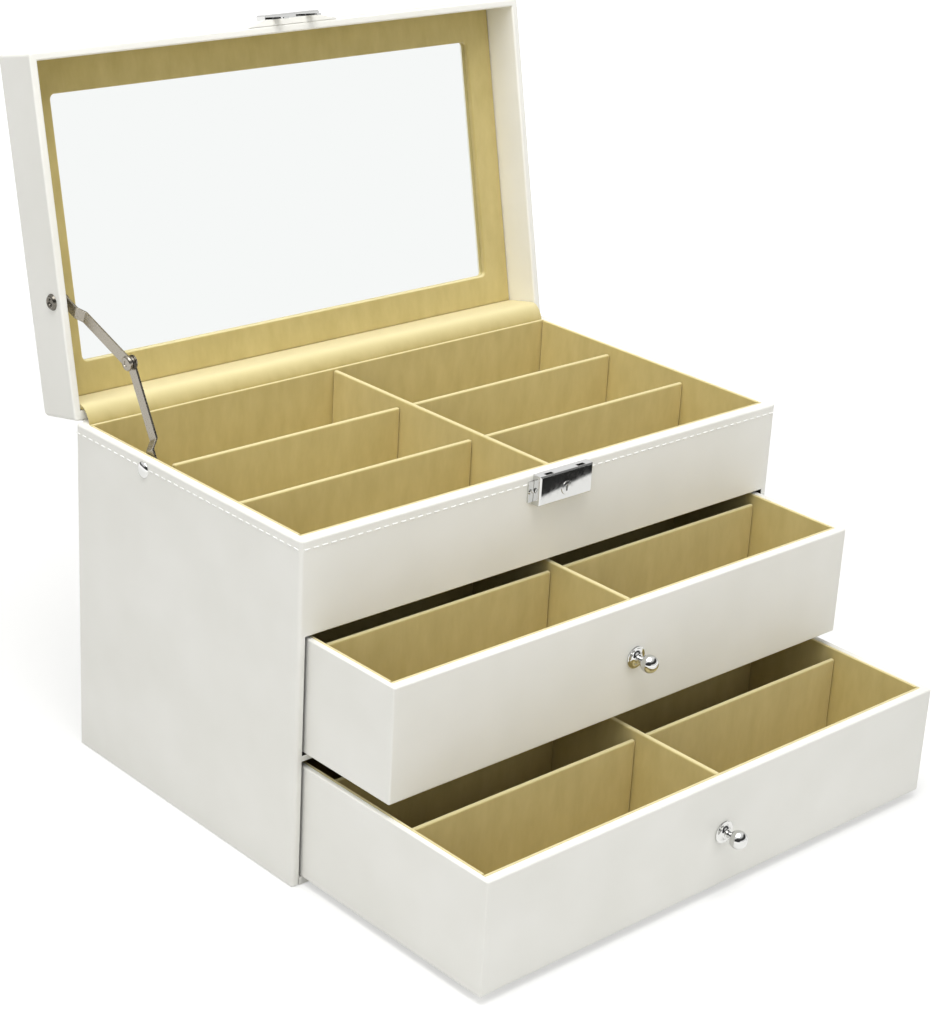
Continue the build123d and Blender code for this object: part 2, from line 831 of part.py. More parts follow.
latch_z = cylinder_z - cam_arm
latch_tooth_top = hinge_z + notch_z + latch_tooth_height / 2
latch_left = -(prong_spacing + prong_width) / 2 - latch_tooth_gap - latch_tooth - latch_arm
latch_right = (prong_spacing - prong_width) / 2
cam_rise = cam_z - (cylinder_z - cam_arm)
cam_slot_width = 2 * (cam_pin_radius + cam_slot_clearance)

with BuildPart() as lock_latch:
    with BuildSketch(front_plane.offset(prong_plane)):
        with Locations(((latch_left + latch_right) / 2, latch_z)):
            Rectangle(latch_right - latch_left, latch_height)
        for prong_x in (-prong_spacing / 2, prong_spacing / 2):
            tooth_tip = prong_x - prong_width / 2 - latch_tooth_gap
            with BuildLine():
                Polyline(
                    (tooth_tip - latch_tooth - latch_arm, latch_z),
                    (tooth_tip - latch_tooth - latch_arm, latch_tooth_top),
                    (tooth_tip, latch_tooth_top),
                    (tooth_tip, latch_tooth_top - latch_tooth_height),
                    (tooth_tip - latch_tooth, latch_tooth_top - latch_tooth_height),
                    (tooth_tip - latch_tooth, latch_z),
                    close=True,
                )
            make_face()
        with Locations((cam_x, cylinder_z - cam_arm + cam_rise / 2)):
            SlotOverall(cam_rise + cam_slot_width, cam_slot_width, rotation=90, mode=Mode.SUBTRACT)
    extrude(amount=prong_thickness)
save(lock_latch, "lock_latch")


# Folding stay

wall_face_x = -lined_x
pivot_layer = wall_face_x + stay_wall_gap + stay_bar / 2
upper_layer = pivot_layer + stay_upper_step
lower_layer = pivot_layer + stay_lower_step


def middle_pivot():
    """Where the two bars meet: the upper-front corner of the triangle over the pivots."""
    reach = lid_pivot - body_pivot
    span = math.hypot(reach.Y, reach.Z)
    along = (stay_lower_length**2 - stay_upper_length**2 + span**2) / (2 * span)
    aside = math.sqrt(stay_lower_length**2 - along**2)
    unit_y, unit_z = reach.Y / span, reach.Z / span
    return Vector(
        0,
        body_pivot.Y + along * unit_y - aside * unit_z,
        body_pivot.Z + along * unit_z + aside * unit_y,
    )


stay_middle = middle_pivot()


def make_link(name, pivot, length, step, step_start):
    """A flat bar that steps away from the wall, with a round end at each pivot."""
    toward = (stay_middle - pivot).normalized()
    flat = Plane(
        origin=(pivot_layer, pivot.Y, pivot.Z),
        x_dir=toward,
        z_dir=toward.cross(Vector(1, 0, 0)),
    )
    side_on = Plane(
        origin=(pivot_layer - stay_bar, pivot.Y, pivot.Z),
        x_dir=toward,
        z_dir=(1, 0, 0),
    )
    end = stay_bar_width / 2
    half = stay_bar / 2
    step_end = step_start + stay_step_run
    with BuildPart() as link:
        with BuildSketch(flat):
            with BuildLine():
                Polyline(
                    (-end, half),
                    (step_start, half),
                    (step_end, step + half),
                    (length + end, step + half),
                    (length + end, step - half),
                    (step_end, step - half),
                    (step_start, -half),
                    (-end, -half),
                    close=True,
                )
            make_face()
            bends = [
                v
                for v in vertices()
                if step_start - half < v.X < step_end + half
            ]
            fillet(bends, stay_bend)
        extrude(amount=stay_bar_width / 2, both=True)
        with BuildSketch(side_on):
            with Locations((length / 2, 0)):
                SlotOverall(length + stay_bar_width, stay_bar_width)
        extrude(amount=step + 2 * stay_bar, mode=Mode.INTERSECT)
        with BuildSketch(side_on):
            with Locations((0, 0), (length, 0)):
                Circle(rivet_radius + rivet_clearance)
        extrude(amount=step + 2 * stay_bar, mode=Mode.SUBTRACT)
    save(link, name)


make_link(
    "stay_lower_link", body_pivot, stay_lower_length, stay_lower_step, stay_lower_step_start
)
make_link(
    "stay_upper_link", lid_pivot, stay_upper_length, stay_upper_step, stay_upper_step_start
)


def make_middle_rivet_half(name, layer, head_side):
    """Half of the middle rivet: a head outside the bar and a shank as deep as the bar."""
    head_plane = Plane.YZ.offset(layer + head_side * (stay_bar / 2 + rivet_gap))
    with BuildPart() as half:
        with BuildSketch(head_plane):
            with Locations((stay_middle.Y, stay_middle.Z)):
                Circle(middle_rivet_head_radius)
        extrude(amount=head_side * middle_rivet_head_height)
        with BuildSketch(head_plane):
            with Locations((stay_middle.Y, stay_middle.Z)):
                Circle(rivet_radius)
        extrude(amount=-head_side * (stay_bar + rivet_gap))
    save(half, name)


make_middle_rivet_half("stay_upper_rivet", upper_layer, -1)
make_middle_rivet_half("stay_lower_rivet", lower_layer, 1)


def make_wall_rivet(name, pivot, eyelet):
    """A rivet through a left wall that carries one link on the inside."""
    outer_x = -body_width / 2
    inner_x_end = pivot_layer + stay_bar / 2 + rivet_gap
    with BuildPart() as rivet:
        with BuildSketch(Plane.YZ.offset(outer_x)):
            with Locations((pivot.Y, pivot.Z)):
                Circle(rivet_head_radius)
        extrude(amount=-rivet_head_height)
        chamfer(rivet.faces().sort_by(Axis.X)[0].edges(), rivet_head_bevel)
        with BuildSketch(Plane.YZ.offset(outer_x)):
            with Locations((pivot.Y, pivot.Z)):
                Circle(rivet_radius)
        extrude(amount=inner_x_end - outer_x)
        with BuildSketch(Plane.YZ.offset(inner_x_end)):
            with Locations((pivot.Y, pivot.Z)):
                Circle(rivet_inner_head_radius)
        extrude(amount=rivet_inner_head_height)
        if eyelet:
            with BuildSketch(Plane.YZ.offset(outer_x - rivet_head_height)):
                with Locations((pivot.Y, pivot.Z)):
                    Circle(rivet_eye_radius)
            extrude(amount=rivet_head_height, mode=Mode.SUBTRACT)
            with BuildSketch(Plane.YZ.offset(-lid_inner_x)):
                with Locations((pivot.Y, pivot.Z)):
                    Circle(rivet_inner_head_radius)
            extrude(amount=wall_face_x + stay_wall_gap - rivet_gap + lid_inner_x)
    save(rivet, name)


make_wall_rivet("body_stay_rivet", body_pivot, eyelet=False)
make_wall_rivet("lid_stay_rivet", lid_pivot, eyelet=True)
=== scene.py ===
# %% [markdown]
# # An eyewear storage box
# The object is a display case for spectacles: boards covered in white leatherette, a tray
# lined with gold velvet under a mirrored lid, and two velvet-lined drawers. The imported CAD
# model is the frame. It gives every place and every moving body, and this lesson dresses it:
# one soft, finished piece after another is made where the CAD solid stands.

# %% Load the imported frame
import json
import math
from itertools import product

import bmesh
import bpy
from mathutils import Matrix, Vector
from mathutils.geometry import interpolate_bezier


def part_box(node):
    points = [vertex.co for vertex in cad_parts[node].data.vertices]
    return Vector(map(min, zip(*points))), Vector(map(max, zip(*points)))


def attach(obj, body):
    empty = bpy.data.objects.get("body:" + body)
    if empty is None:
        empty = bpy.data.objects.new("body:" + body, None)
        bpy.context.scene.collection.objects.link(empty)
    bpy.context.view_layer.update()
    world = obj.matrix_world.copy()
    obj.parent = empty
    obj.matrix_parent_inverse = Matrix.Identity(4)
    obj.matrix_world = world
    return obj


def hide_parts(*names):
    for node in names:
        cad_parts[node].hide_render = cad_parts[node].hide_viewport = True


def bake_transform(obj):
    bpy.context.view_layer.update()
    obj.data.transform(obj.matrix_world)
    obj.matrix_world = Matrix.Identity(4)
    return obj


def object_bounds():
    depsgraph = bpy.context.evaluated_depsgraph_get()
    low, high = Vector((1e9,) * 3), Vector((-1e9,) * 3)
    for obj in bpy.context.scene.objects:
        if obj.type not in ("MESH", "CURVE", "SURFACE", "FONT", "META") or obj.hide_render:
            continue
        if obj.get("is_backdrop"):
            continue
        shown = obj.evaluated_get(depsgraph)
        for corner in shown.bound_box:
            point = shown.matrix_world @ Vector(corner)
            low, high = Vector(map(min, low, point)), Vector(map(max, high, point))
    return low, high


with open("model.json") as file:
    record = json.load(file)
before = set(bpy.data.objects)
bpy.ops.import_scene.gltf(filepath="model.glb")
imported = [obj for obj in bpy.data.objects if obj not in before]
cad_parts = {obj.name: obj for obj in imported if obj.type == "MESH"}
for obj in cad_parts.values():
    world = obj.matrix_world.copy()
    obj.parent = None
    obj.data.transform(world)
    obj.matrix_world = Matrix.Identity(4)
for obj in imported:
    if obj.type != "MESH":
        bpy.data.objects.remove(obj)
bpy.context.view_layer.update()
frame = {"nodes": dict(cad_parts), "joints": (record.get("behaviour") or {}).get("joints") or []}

MM = 0.001
scene = bpy.context.scene

# %% [markdown]
# Every size is read from the frame, so a piece can't drift away from the part that carries it.
# The lid is drawn as if it were shut, because its boards are then square to the axes, and is
# turned about its hinge afterwards. The hinge joint of the frame says where and how far.

# %% Read places from the frame
def span(node):
    """The lowest and highest corners of a CAD node, in millimetres."""
    low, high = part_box(node)
    return low / MM, high / MM


hinge = next(joint for joint in frame["joints"] if joint["name"] == "lid_hinge")
hinge_place = Vector(hinge["pos_m"])
open_angle = math.radians(hinge["range_deg"][1])
OPEN_LID = Matrix.Translation(hinge_place) @ Matrix.Rotation(-open_angle, 4, "X")


def shut_span(node):
    """The same for a node of the lid, measured on the shut lid from the hinge line."""
    shut = [OPEN_LID.inverted() @ v.co / MM for v in frame["nodes"][node].data.vertices]
    return (Vector(map(min, zip(*shut))), Vector(map(max, zip(*shut))))


print("lid hinge at", [round(v / MM, 1) for v in hinge_place], "open", hinge["range_deg"][1])

# %% [markdown]
# ## Boards
# A covered board is a plain box whose edges are softened by the cloth that goes round them.
# Boards that share one cover are joined first, so that the cover has no false seams. Booleans
# could join them, but a grid of cells is simpler and never fails: the boxes' faces cut space
# into cells, a cell inside any box is full, and a skin goes where full meets empty.

# %% Join boxes into one skin
def join_boxes(boxes):
    """The outer skin of some upright boxes, each two corners in millimetres."""
    # Sizes that came back from a turn differ by rounding, so cuts are kept to 0.01 mm.
    cuts = [sorted({round(corner[axis], 2) for box in boxes for corner in box})
            for axis in range(3)]
    middles = [[(a + b) / 2 for a, b in zip(cut, cut[1:])] for cut in cuts]
    full = {
        cell
        for cell in product(*(range(len(m)) for m in middles))
        if any(
            all(low[a] < middles[a][cell[a]] < high[a] for a in range(3))
            for low, high in boxes
        )
    }
    skin, made = bmesh.new(), {}

    def corner(key):
        if key not in made:
            made[key] = skin.verts.new([cuts[a][key[a]] * MM for a in range(3)])
        return made[key]

    for cell in sorted(full):
        for axis, step in product(range(3), (-1, 1)):
            beside = tuple(c + step * (a == axis) for a, c in enumerate(cell))
            if beside in full:
                continue
            u, v = (axis + 1) % 3, (axis + 2) % 3
            quad = []
            for along_u, along_v in ((0, 0), (1, 0), (1, 1), (0, 1)):
                key = [c + (a == axis and step > 0) for a, c in enumerate(cell)]
                key[u] += along_u
                key[v] += along_v
                quad.append(corner(tuple(key)))
            skin.faces.new(quad if step > 0 else quad[::-1])
    bmesh.ops.dissolve_limit(
        skin, angle_limit=math.radians(1), verts=skin.verts, edges=skin.edges
    )
    return skin


def board(low, high):
    """A box as two tuples, so that lists of boards read well."""
    return tuple(low), tuple(high)


# %% [markdown]
# Each sharp edge gets its own radius, carried to a Bevel modifier as a weight. A cover pulled
# round a board is tighter inside a corner than along a rim, so one radius for all would look
# moulded. Weighted normals keep the broad faces flat in the light while the edges roll over.

# %% Round the edges of a skin
SHARP = math.radians(30)


def linked(name, data):
    """A new object of the scene that shows some data."""
    made = bpy.data.objects.new(name, data)
    scene.collection.objects.link(made)
    return made


def smooth_mesh(name, skin):
    """A smooth-shaded mesh of a skin, which is used up."""
    mesh = bpy.data.meshes.new(name)
    skin.to_mesh(mesh)
    skin.free()
    mesh.shade_smooth()
    return mesh


def rounded_mesh(name, skin, radius_of, segments=4):
    """A finished mesh of a skin; radius_of(middle, direction) is in millimetres."""
    weight = skin.edges.layers.float.new("bevel_weight_edge")
    radii = {}
    for edge in skin.edges:
        if len(edge.link_faces) == 2 and edge.calc_face_angle() > SHARP:
            start, end = (vertex.co for vertex in edge.verts)
            radii[edge] = radius_of((start + end) / 2 / MM, (end - start).normalized())
    widest = max(radii.values())
    for edge, radius in radii.items():
        edge[weight] = radius / widest
    draft = linked(name, smooth_mesh(name, skin))
    bevel = draft.modifiers.new("Edges", "BEVEL")
    bevel.limit_method = "WEIGHT"
    bevel.width = widest * MM
    bevel.segments = segments
    normals = draft.modifiers.new("Flat faces", "WEIGHTED_NORMAL")
    normals.weight = 100
    return applied(draft)


def applied(draft):
    """The mesh of a draft object with its modifiers worked in; the draft is removed."""
    drawn = draft.evaluated_get(bpy.context.evaluated_depsgraph_get())
    mesh = bpy.data.meshes.new_from_object(drawn)
    mesh.name = draft.name
    old = draft.data
    bpy.data.objects.remove(draft)
    if isinstance(old, bpy.types.Mesh):
        bpy.data.meshes.remove(old)
    return mesh


# %% [markdown]
# ## Colours and nodes
# Colours are written as they look on a screen and turned to linear light by one function. One
# small function adds a shader node with its settings and its links, so a material below reads
# from top to bottom like its recipe.

# %% Colour and node helpers
def linear(text):
    """An sRGB hex colour as linear RGBA."""
    values = [int(text[k:k + 2], 16) / 255 for k in (1, 3, 5)]
    return [v / 12.92 if v <= 0.04045 else ((v + 0.055) / 1.055) ** 2.4 for v in values] + [1]


def add(tree, kind, settings=None, **sockets):
    """A node of a kind; a socket given a socket is linked, any other value is set."""
    node = tree.nodes.new(kind)
    for name, value in (settings or {}).items():
        setattr(node, name, value)
    for name, value in sockets.items():
        key = int(name[1:]) if name[0] == "_" else name.replace("_", " ")
        if isinstance(value, bpy.types.NodeSocket):
            tree.links.new(value, node.inputs[key])
        else:
            node.inputs[key].default_value = value
    return node


def compute(tree, operation, *values):
    """The result of a Math node on up to three values or sockets."""
    sockets = {f"_{k}": value for k, value in enumerate(values)}
    return add(tree, "ShaderNodeMath", {"operation": operation}, **sockets).outputs[0]


def remap(tree, value, start, end, low=0.0, high=1.0):
    """A value's place between start and end, as a number from low to high."""
    return add(tree, "ShaderNodeMapRange", Value=value, From_Min=start, From_Max=end,
               To_Min=low, To_Max=high).outputs["Result"]


def new_material(name):
    """An empty material, its tree, its Principled shader and the object's own coordinates."""
    material = bpy.data.materials.new(name)
    material.use_nodes = True
    tree = material.node_tree
    shader = next(n for n in tree.nodes if n.type == "BSDF_PRINCIPLED")
    return material, tree, shader, add(tree, "ShaderNodeTexCoord").outputs["Object"]


def two_colours(tree, factor, low, high, dark, light):
    """A ramp from one colour to another between two values of a factor."""
    ramp = add(tree, "ShaderNodeValToRGB", Fac=factor)
    ramp.color_ramp.elements[0].position = low
    ramp.color_ramp.elements[0].color = linear(dark)
    ramp.color_ramp.elements[1].position = high
    ramp.color_ramp.elements[1].color = linear(light)
    return ramp.outputs["Color"]


# %% [markdown]
# ## Leatherette
# The cover is a polyurethane coat on cloth, embossed with a fine pebble. The eye sees a clean
# white with a soft gloss, a faint grain, and slow waves where the cover was rubbed down on
# the board. A real pebble is about half a millimetre wide. That is too fine to show from
# where the photograph was taken, so it is drawn at 0.9 mm. A cell texture makes the pebble
# and a broad noise makes the waves. Both bump the surface, and the waves also shift its tone
# a little.

# %% White leatherette
def make_leatherette():
    """Polyurethane leatherette: coated, embossed with a fine pebble, stuck to board."""
    material, tree, shader, place = new_material("white_pu_leatherette")
    grain_width, grain_depth = 0.9 * MM, 0.08 * MM
    wave_width, wave_depth = 45 * MM, 1.0 * MM
    pebble = add(tree, "ShaderNodeTexVoronoi", {"feature": "SMOOTH_F1"},
                 Vector=place, Scale=1 / grain_width, Smoothness=0.6)
    wave = add(tree, "ShaderNodeTexNoise", Vector=place, Scale=1 / wave_width, Detail=2.0)
    tone = two_colours(tree, wave.outputs["Fac"], 0.3, 0.7, "#F0EFE8", "#F5F4EE")
    slow = add(tree, "ShaderNodeBump", Strength=0.12, Distance=wave_depth,
               Height=wave.outputs["Fac"])
    fine = add(tree, "ShaderNodeBump", Strength=0.14, Distance=grain_depth,
               Height=pebble.outputs["Distance"], Normal=slow.outputs["Normal"])
    tree.links.new(tone, shader.inputs["Base Color"])
    tree.links.new(fine.outputs["Normal"], shader.inputs["Normal"])
    shader.inputs["Roughness"].default_value = 0.42
    shader.inputs["Specular IOR Level"].default_value = 0.4
    return material


leatherette = make_leatherette()
print("made", leatherette.name)

# %% [markdown]
# ## Velvet
# The lining is a short-pile velvet in old gold, glued to card. Pile catches light along its
# tips, so a face seen at a slant, such as the top of a divider, glows pale yellow, while a
# wall in the shade turns deep olive. The sheen layer does part of that, and a painted
# highlight does the rest: the colour turns to cream where a face looks up, as if lit from
# above. Slow noise stands for pile that was brushed one way or the other, and a fine one for
# tufts of the pile. Single fibres, a few hundredths of a millimetre wide, are too fine to
# show, so a tuft is drawn 0.35 mm wide.

# %% Gold velvet
def make_velvet():
    """Short-pile velvet on card: a sheen at slanting light, brushed patches, fine pile."""
    material, tree, shader, place = new_material("old_gold_velvet")
    brush_width, tuft_width, tuft_depth = 9 * MM, 0.35 * MM, 0.15 * MM
    stroke = add(tree, "ShaderNodeMapping", Vector=place, Scale=(1.0, 1.0, 0.35))
    brushed = add(tree, "ShaderNodeTexNoise", Vector=stroke.outputs["Vector"],
                  Scale=1 / brush_width, Detail=3.0, Roughness=0.6)
    pile = add(tree, "ShaderNodeTexNoise", Vector=place, Scale=1 / tuft_width, Detail=1.0)
    tone = two_colours(tree, brushed.outputs["Fac"], 0.3, 0.72, "#B3A262", "#C1B072")
    normal = add(tree, "ShaderNodeSeparateXYZ",
                 Vector=add(tree, "ShaderNodeTexCoord").outputs["Normal"])
    # Painted highlight: cream #E2D6A2 is mixed in where a face looks up, standing in for light
    # from above.
    painted_top_highlight = remap(tree, normal.outputs["Z"], 0.3, 0.95)
    tone = add(tree, "ShaderNodeMix", {"data_type": "RGBA"}, Factor=painted_top_highlight,
               _6=tone, _7=linear("#E2D6A2")).outputs[2]
    nap = add(tree, "ShaderNodeBump", Strength=0.35, Distance=tuft_depth,
              Height=pile.outputs["Fac"])
    tree.links.new(tone, shader.inputs["Base Color"])
    tree.links.new(nap.outputs["Normal"], shader.inputs["Normal"])
    shader.inputs["Roughness"].default_value = 0.95
    shader.inputs["Specular IOR Level"].default_value = 0.1
    shader.inputs["Sheen Weight"].default_value = 1.0
    shader.inputs["Sheen Roughness"].default_value = 0.6
    shader.inputs["Sheen Tint"].default_value = linear("#FFF4CE")
    return material


velvet = make_velvet()
print("made", velvet.name)

# %% [markdown]
# ## Metals and the rest
# The lock, hasp, knobs and the case's rivet are zinc, cast or turned, and chromium plated: a
# mirror with a trace of blur. The stay is stamped steel with a dull nickel plate, which
# gives wide grey highlights that rubbing has made uneven. The lid's rivet is drawn as a
# darker, glossier metal, and its dark colour is a painted reflection of dark surroundings.
# The mirror is silvered float glass, a clean reflection. The hidden insides of the bays are
# greyboard drawn near black and matt, and the thread is matt white with a fine twist. Grain
# and twist are drawn at their real width, and the twist is too fine to show from the
# photograph's camera.

# %% Chrome, nickel, mirror, board, thread
def make_metal(name, colour, roughness, scratch, wear):
    """A plated metal with a little uneven gloss from handling, as wide as scratch."""
    material, tree, shader, place = new_material(name)
    handled = add(tree, "ShaderNodeTexNoise", Vector=place, Scale=1 / scratch, Detail=3.0)
    gloss = remap(tree, handled.outputs["Fac"], 0.3, 0.75, roughness, roughness + wear)
    tree.links.new(gloss, shader.inputs["Roughness"])
    shader.inputs["Base Color"].default_value = linear(colour)
    shader.inputs["Metallic"].default_value = 1.0
    return material


def make_plain(name, colour, roughness, grain, depth):
    """A matt stuff with a fine tooth, for card, thread and paint."""
    material, tree, shader, place = new_material(name)
    tooth = add(tree, "ShaderNodeTexNoise", Vector=place, Scale=1 / grain, Detail=2.0)
    bump = add(tree, "ShaderNodeBump", Strength=0.4, Distance=depth,
               Height=tooth.outputs["Fac"])
    tree.links.new(bump.outputs["Normal"], shader.inputs["Normal"])
    shader.inputs["Base Color"].default_value = linear(colour)
    shader.inputs["Roughness"].default_value = roughness
    return material


chrome = make_metal("chromium_plated_zinc", "#D6D6D4", 0.02, 3 * MM, 0.03)
nickel = make_metal("dull_nickel_plated_steel", "#A19B90", 0.22, 0.8 * MM, 0.16)
# Painted reflection: the lid rivet's metal is coloured dark to stand in for the dark
# surroundings it reflects.
rivet_painted_dark = make_metal("rivet_metal_painted_dark", "#6F6B63", 0.16, 2 * MM, 0.1)
mirror_glass = make_metal("silvered_float_glass", "#F6F8F7", 0.0, 30 * MM, 0.01)
# The hidden insides of the bays and the underside of the tray are drawn near black and matt.
dark_board = make_plain("near_black_matt_board", "#14120E", 0.9, 0.6 * MM, 0.1 * MM)
thread = make_plain("white_polyester_thread", "#FBFBF8", 0.6, 0.12 * MM, 0.05 * MM)
print("made", [m.name for m in (chrome, nickel, rivet_painted_dark, mirror_glass, dark_board, thread)])

# %% [markdown]
# A finished piece is one object at the origin with its place in its mesh. It rides on a body
# of the frame and may stand for some CAD nodes, which are then hidden.

# %% Put a piece in the scene
def add_piece(name, mesh, body, finishes, nodes=(), slot=None):
    """Links a mesh as a piece that rides on a body in place of some CAD nodes."""
    piece = linked(name, mesh)
    for finish in finishes:
        mesh.materials.append(finish)
    if body:
        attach(piece, body)
    if nodes:
        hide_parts(*nodes)
    print(f"{name}: {len(mesh.polygons)} faces on {body}")
    return piece


# %% [markdown]
# ## The case
# Sides, front, back and the strip between the drawers carry one continuous cover. The upright
# corners are the softest, the rims roll over less, and the mouths of the drawer bays least.
# Behind those mouths the boards are bare and dark, which is a second material on the same
# skin, chosen by where a face lies. Two places are the same if they are nearer than 0.1 mm.

# %% Case cover
case_low, case_high = span("left_side")
right_low, right_high = span("right_side")
front_low, front_high = span("front_panel")
shelf_low, shelf_high = span("drawer_shelf")
back_low = span("back_panel")[0]
cover_back = span("back_cover")[1].y
inner_x, outer_x, front_y, top_z = right_low.x, right_high.x, case_low.y, case_high.z
NEAR = 0.1

case_skin = join_boxes([
    board((-outer_x, front_y, 0), (-inner_x, cover_back, top_z)),
    board((inner_x, front_y, 0), (outer_x, cover_back, top_z)),
    board((-inner_x, front_y, front_low.z), (inner_x, front_high.y, top_z)),
    board((-inner_x, front_y, shelf_low.z), (inner_x, back_low.y, shelf_high.z)),
    board((-inner_x, back_low.y, 0), (inner_x, cover_back, top_z)),
])
for face in case_skin.faces:
    inside = all(
        abs(v.co.x) / MM < inner_x + 0.01
        and front_y - 0.01 < v.co.y / MM < cover_back - 0.5
        and v.co.z / MM < front_low.z + 0.01
        for v in face.verts
    )
    facing_front = face.normal.y < -0.9 and face.calc_center_median().y / MM < front_y + NEAR
    face.material_index = 1 if inside and not facing_front else 0


def case_radius(middle, direction):
    """How far the cover rounds each edge of the case."""
    outside = abs(middle.x) > outer_x - NEAR
    if abs(direction.z) > 0.9 and outside:
        return 2.2
    if middle.z > top_z - NEAR:
        return 1.5 if outside or middle.y < front_y + NEAR else 0.9
    if middle.y < front_y + NEAR:
        return 1.0
    return 0.5


add_piece(
    "case_cover", rounded_mesh("case_cover", case_skin, case_radius, 5), "carcass",
    [leatherette, dark_board],
    ("left_side", "right_side", "front_panel", "drawer_shelf", "back_panel", "back_cover"),
    "white_leatherette",
)

# %% [markdown]
# ## Linings
# Each lined space has four velvet-covered cards, a floor card, a long divider and two cross
# dividers. They are separate cards pushed together, and the photograph shows the thin dark
# line where two meet, so each is its own small box with almost half a millimetre of air at
# its ends. A card rounds over its top edge and ends by a share of its thickness, as cloth
# does over thin board. The stay folds down through a notch in one cross divider of the tray.

# %% Lining cards and dividers
card_gap, end_air, cross_thick = 0.45, 0.25, 2.8
card_rounding, floor_card_radius = 0.42, 0.4
stay_notch_width, stay_notch_depth = 9.0, 8.5


def add_cards(prefix, kind, node, boards, body, radius):
    """Velvet cards of one kind, which stand for one CAD node."""
    name = f"{prefix}_{kind}"
    mesh = rounded_mesh(name, join_boxes(boards), lambda middle, direction: radius)
    add_piece(name, mesh, body, [velvet], [f"{prefix}_{node}"], "gold_velvet")


def lined_space(prefix, body, notched=False):
    """All velvet cards of one tray or drawer; a notched one has room for the stay."""
    low, high = span(f"{prefix}_lining")
    floor_low, floor_high = span(f"{prefix}_floor_lining")
    centre_low, centre_high = span(f"{prefix}_centre_divider")
    cross_low, cross_high = span(f"{prefix}_cross_dividers")
    thick = floor_low.x - low.x
    walls = [
        board(low, (high.x, low.y + thick, high.z)),
        board((low.x, high.y - thick, low.z), high),
        board((low.x, low.y + thick + card_gap, low.z),
              (low.x + thick, high.y - thick - card_gap, high.z)),
        board((high.x - thick, low.y + thick + card_gap, low.z),
              (high.x, high.y - thick - card_gap, high.z)),
    ]
    crosses = []
    for front in (cross_low.y, cross_high.y - cross_thick):
        for side in (-1, 1):
            start, end = sorted((side * (centre_high.x + card_gap),
                                 side * (cross_high.x - end_air)))
            back = front + cross_thick
            if notched and side < 0 and front > (cross_low.y + cross_high.y) / 2:
                step_x, step_z = start + stay_notch_width, cross_high.z - stay_notch_depth
                crosses.append(board((start, front, cross_low.z), (step_x, back, step_z)))
                start = step_x
            crosses.append(board((start, front, cross_low.z), (end, back, cross_high.z)))
    for kind, node, boards, radius in (
        ("lining_cards", "lining", walls, card_rounding * thick),
        ("floor_card", "floor_lining", [board(floor_low, floor_high)], floor_card_radius),
        ("long_divider", "centre_divider", [board(centre_low, centre_high)],
         card_rounding * (centre_high.x - centre_low.x)),
        ("cross_cards", "cross_dividers", crosses, card_rounding * cross_thick),
    ):
        add_cards(prefix, kind, node, boards, body, radius)


lined_space("tray", "carcass", notched=True)
lined_space("upper_drawer", "upper_drawer")
lined_space("lower_drawer", "lower_drawer")

# %% [markdown]
# ## Drawers
# A drawer is a thin box whose front, sides and back share one cover, stretched tight and
# turned over the rim, so all its edges stay crisp, and those of the front are a little softer.

# %% Drawer covers
def drawer_radius(front):
    """The front rounds most at its edges; the thin walls round over their rims."""
    def radius(middle, direction):
        return 1.1 if middle.y < front + NEAR else 0.8
    return radius


for drawer in ("upper_drawer", "lower_drawer"):
    parts = ("front", "left_wall", "right_wall", "back_wall", "floor")
    boxes = [board(*span(f"{drawer}_{part}")) for part in parts]
    drawer_front = boxes[0][0][1]
    mesh = rounded_mesh(f"{drawer}_cover", join_boxes(boxes), drawer_radius(drawer_front))
    add_piece(f"{drawer}_cover", mesh, drawer, [leatherette],
              [f"{drawer}_{part}" for part in parts], "white_leatherette")

# %% [markdown]
# ## The lid
# The lid is a shallow box of four walls and a top, covered outside and in. It is drawn shut:
# x to the right, y to the back with the hinge at 0, z up from the hinge line. Then the whole
# mesh is turned open. It is as wide as the case, so that the two covers line up, and its
# other sizes come from its own boards.

# %% Lid cover
lid_walls = ("lid_front_wall", "lid_back_wall", "lid_left_wall", "lid_right_wall")
lid_boards = [shut_span(node) for node in lid_walls + ("lid_top_panel",)]
rim_z = lid_boards[0][0].z
lid_top_z = lid_boards[-1][1].z
lid_inner_back = lid_boards[1][0].y
lining_back = shut_span("lid_back_lining")[0].y
panel_rim = shut_span("mirror_frame")[0].z


def open_lid(mesh):
    """Turns a mesh that was drawn on the shut lid to where the lid stands."""
    mesh.transform(OPEN_LID)
    return mesh


(lid_front, front_wall_back), _, (_, left_wall_in), (right_wall_in, _), (top_low, _) = (
    lid_boards)
lid_skin = join_boxes([
    board((-outer_x, lid_front.y, rim_z), (outer_x, front_wall_back.y, lid_top_z)),
    board((-outer_x, lid_inner_back, rim_z), (outer_x, 0, lid_top_z)),
    board((-outer_x, lid_front.y, rim_z), (left_wall_in.x, 0, lid_top_z)),
    board((right_wall_in.x, lid_front.y, rim_z), (outer_x, 0, lid_top_z)),
    board((-outer_x, lid_front.y, top_low.z), (outer_x, 0, lid_top_z)),
])


def lid_radius(middle, direction):
    """Softest round the top, then the upright corners, then the rim."""
    if middle.z > lid_top_z - NEAR:
        return 3.2
    if abs(direction.z) > 0.9 and abs(middle.x) > outer_x - NEAR:
        return 2.4
    return 1.1 if middle.z < rim_z + NEAR else 0.5


add_piece(
    "lid_cover", open_lid(rounded_mesh("lid_cover", lid_skin, lid_radius, 6)), "lid",
    [leatherette], lid_walls + ("lid_top_panel", "lid_back_cover"), "white_leatherette",
)

# %% [markdown]
# ## Copies of CAD shapes
# Some CAD solids already have the right form and only lack soft edges: the mirror's velvet
# surround, the lid's back lining, the lock, the hasp with its pad and the stay's bars. A copy
# is merged first, because the frame's mesh is loose triangles, its flat faces are joined, and
# a small bevel goes round every edge so that metal catches a line of light.

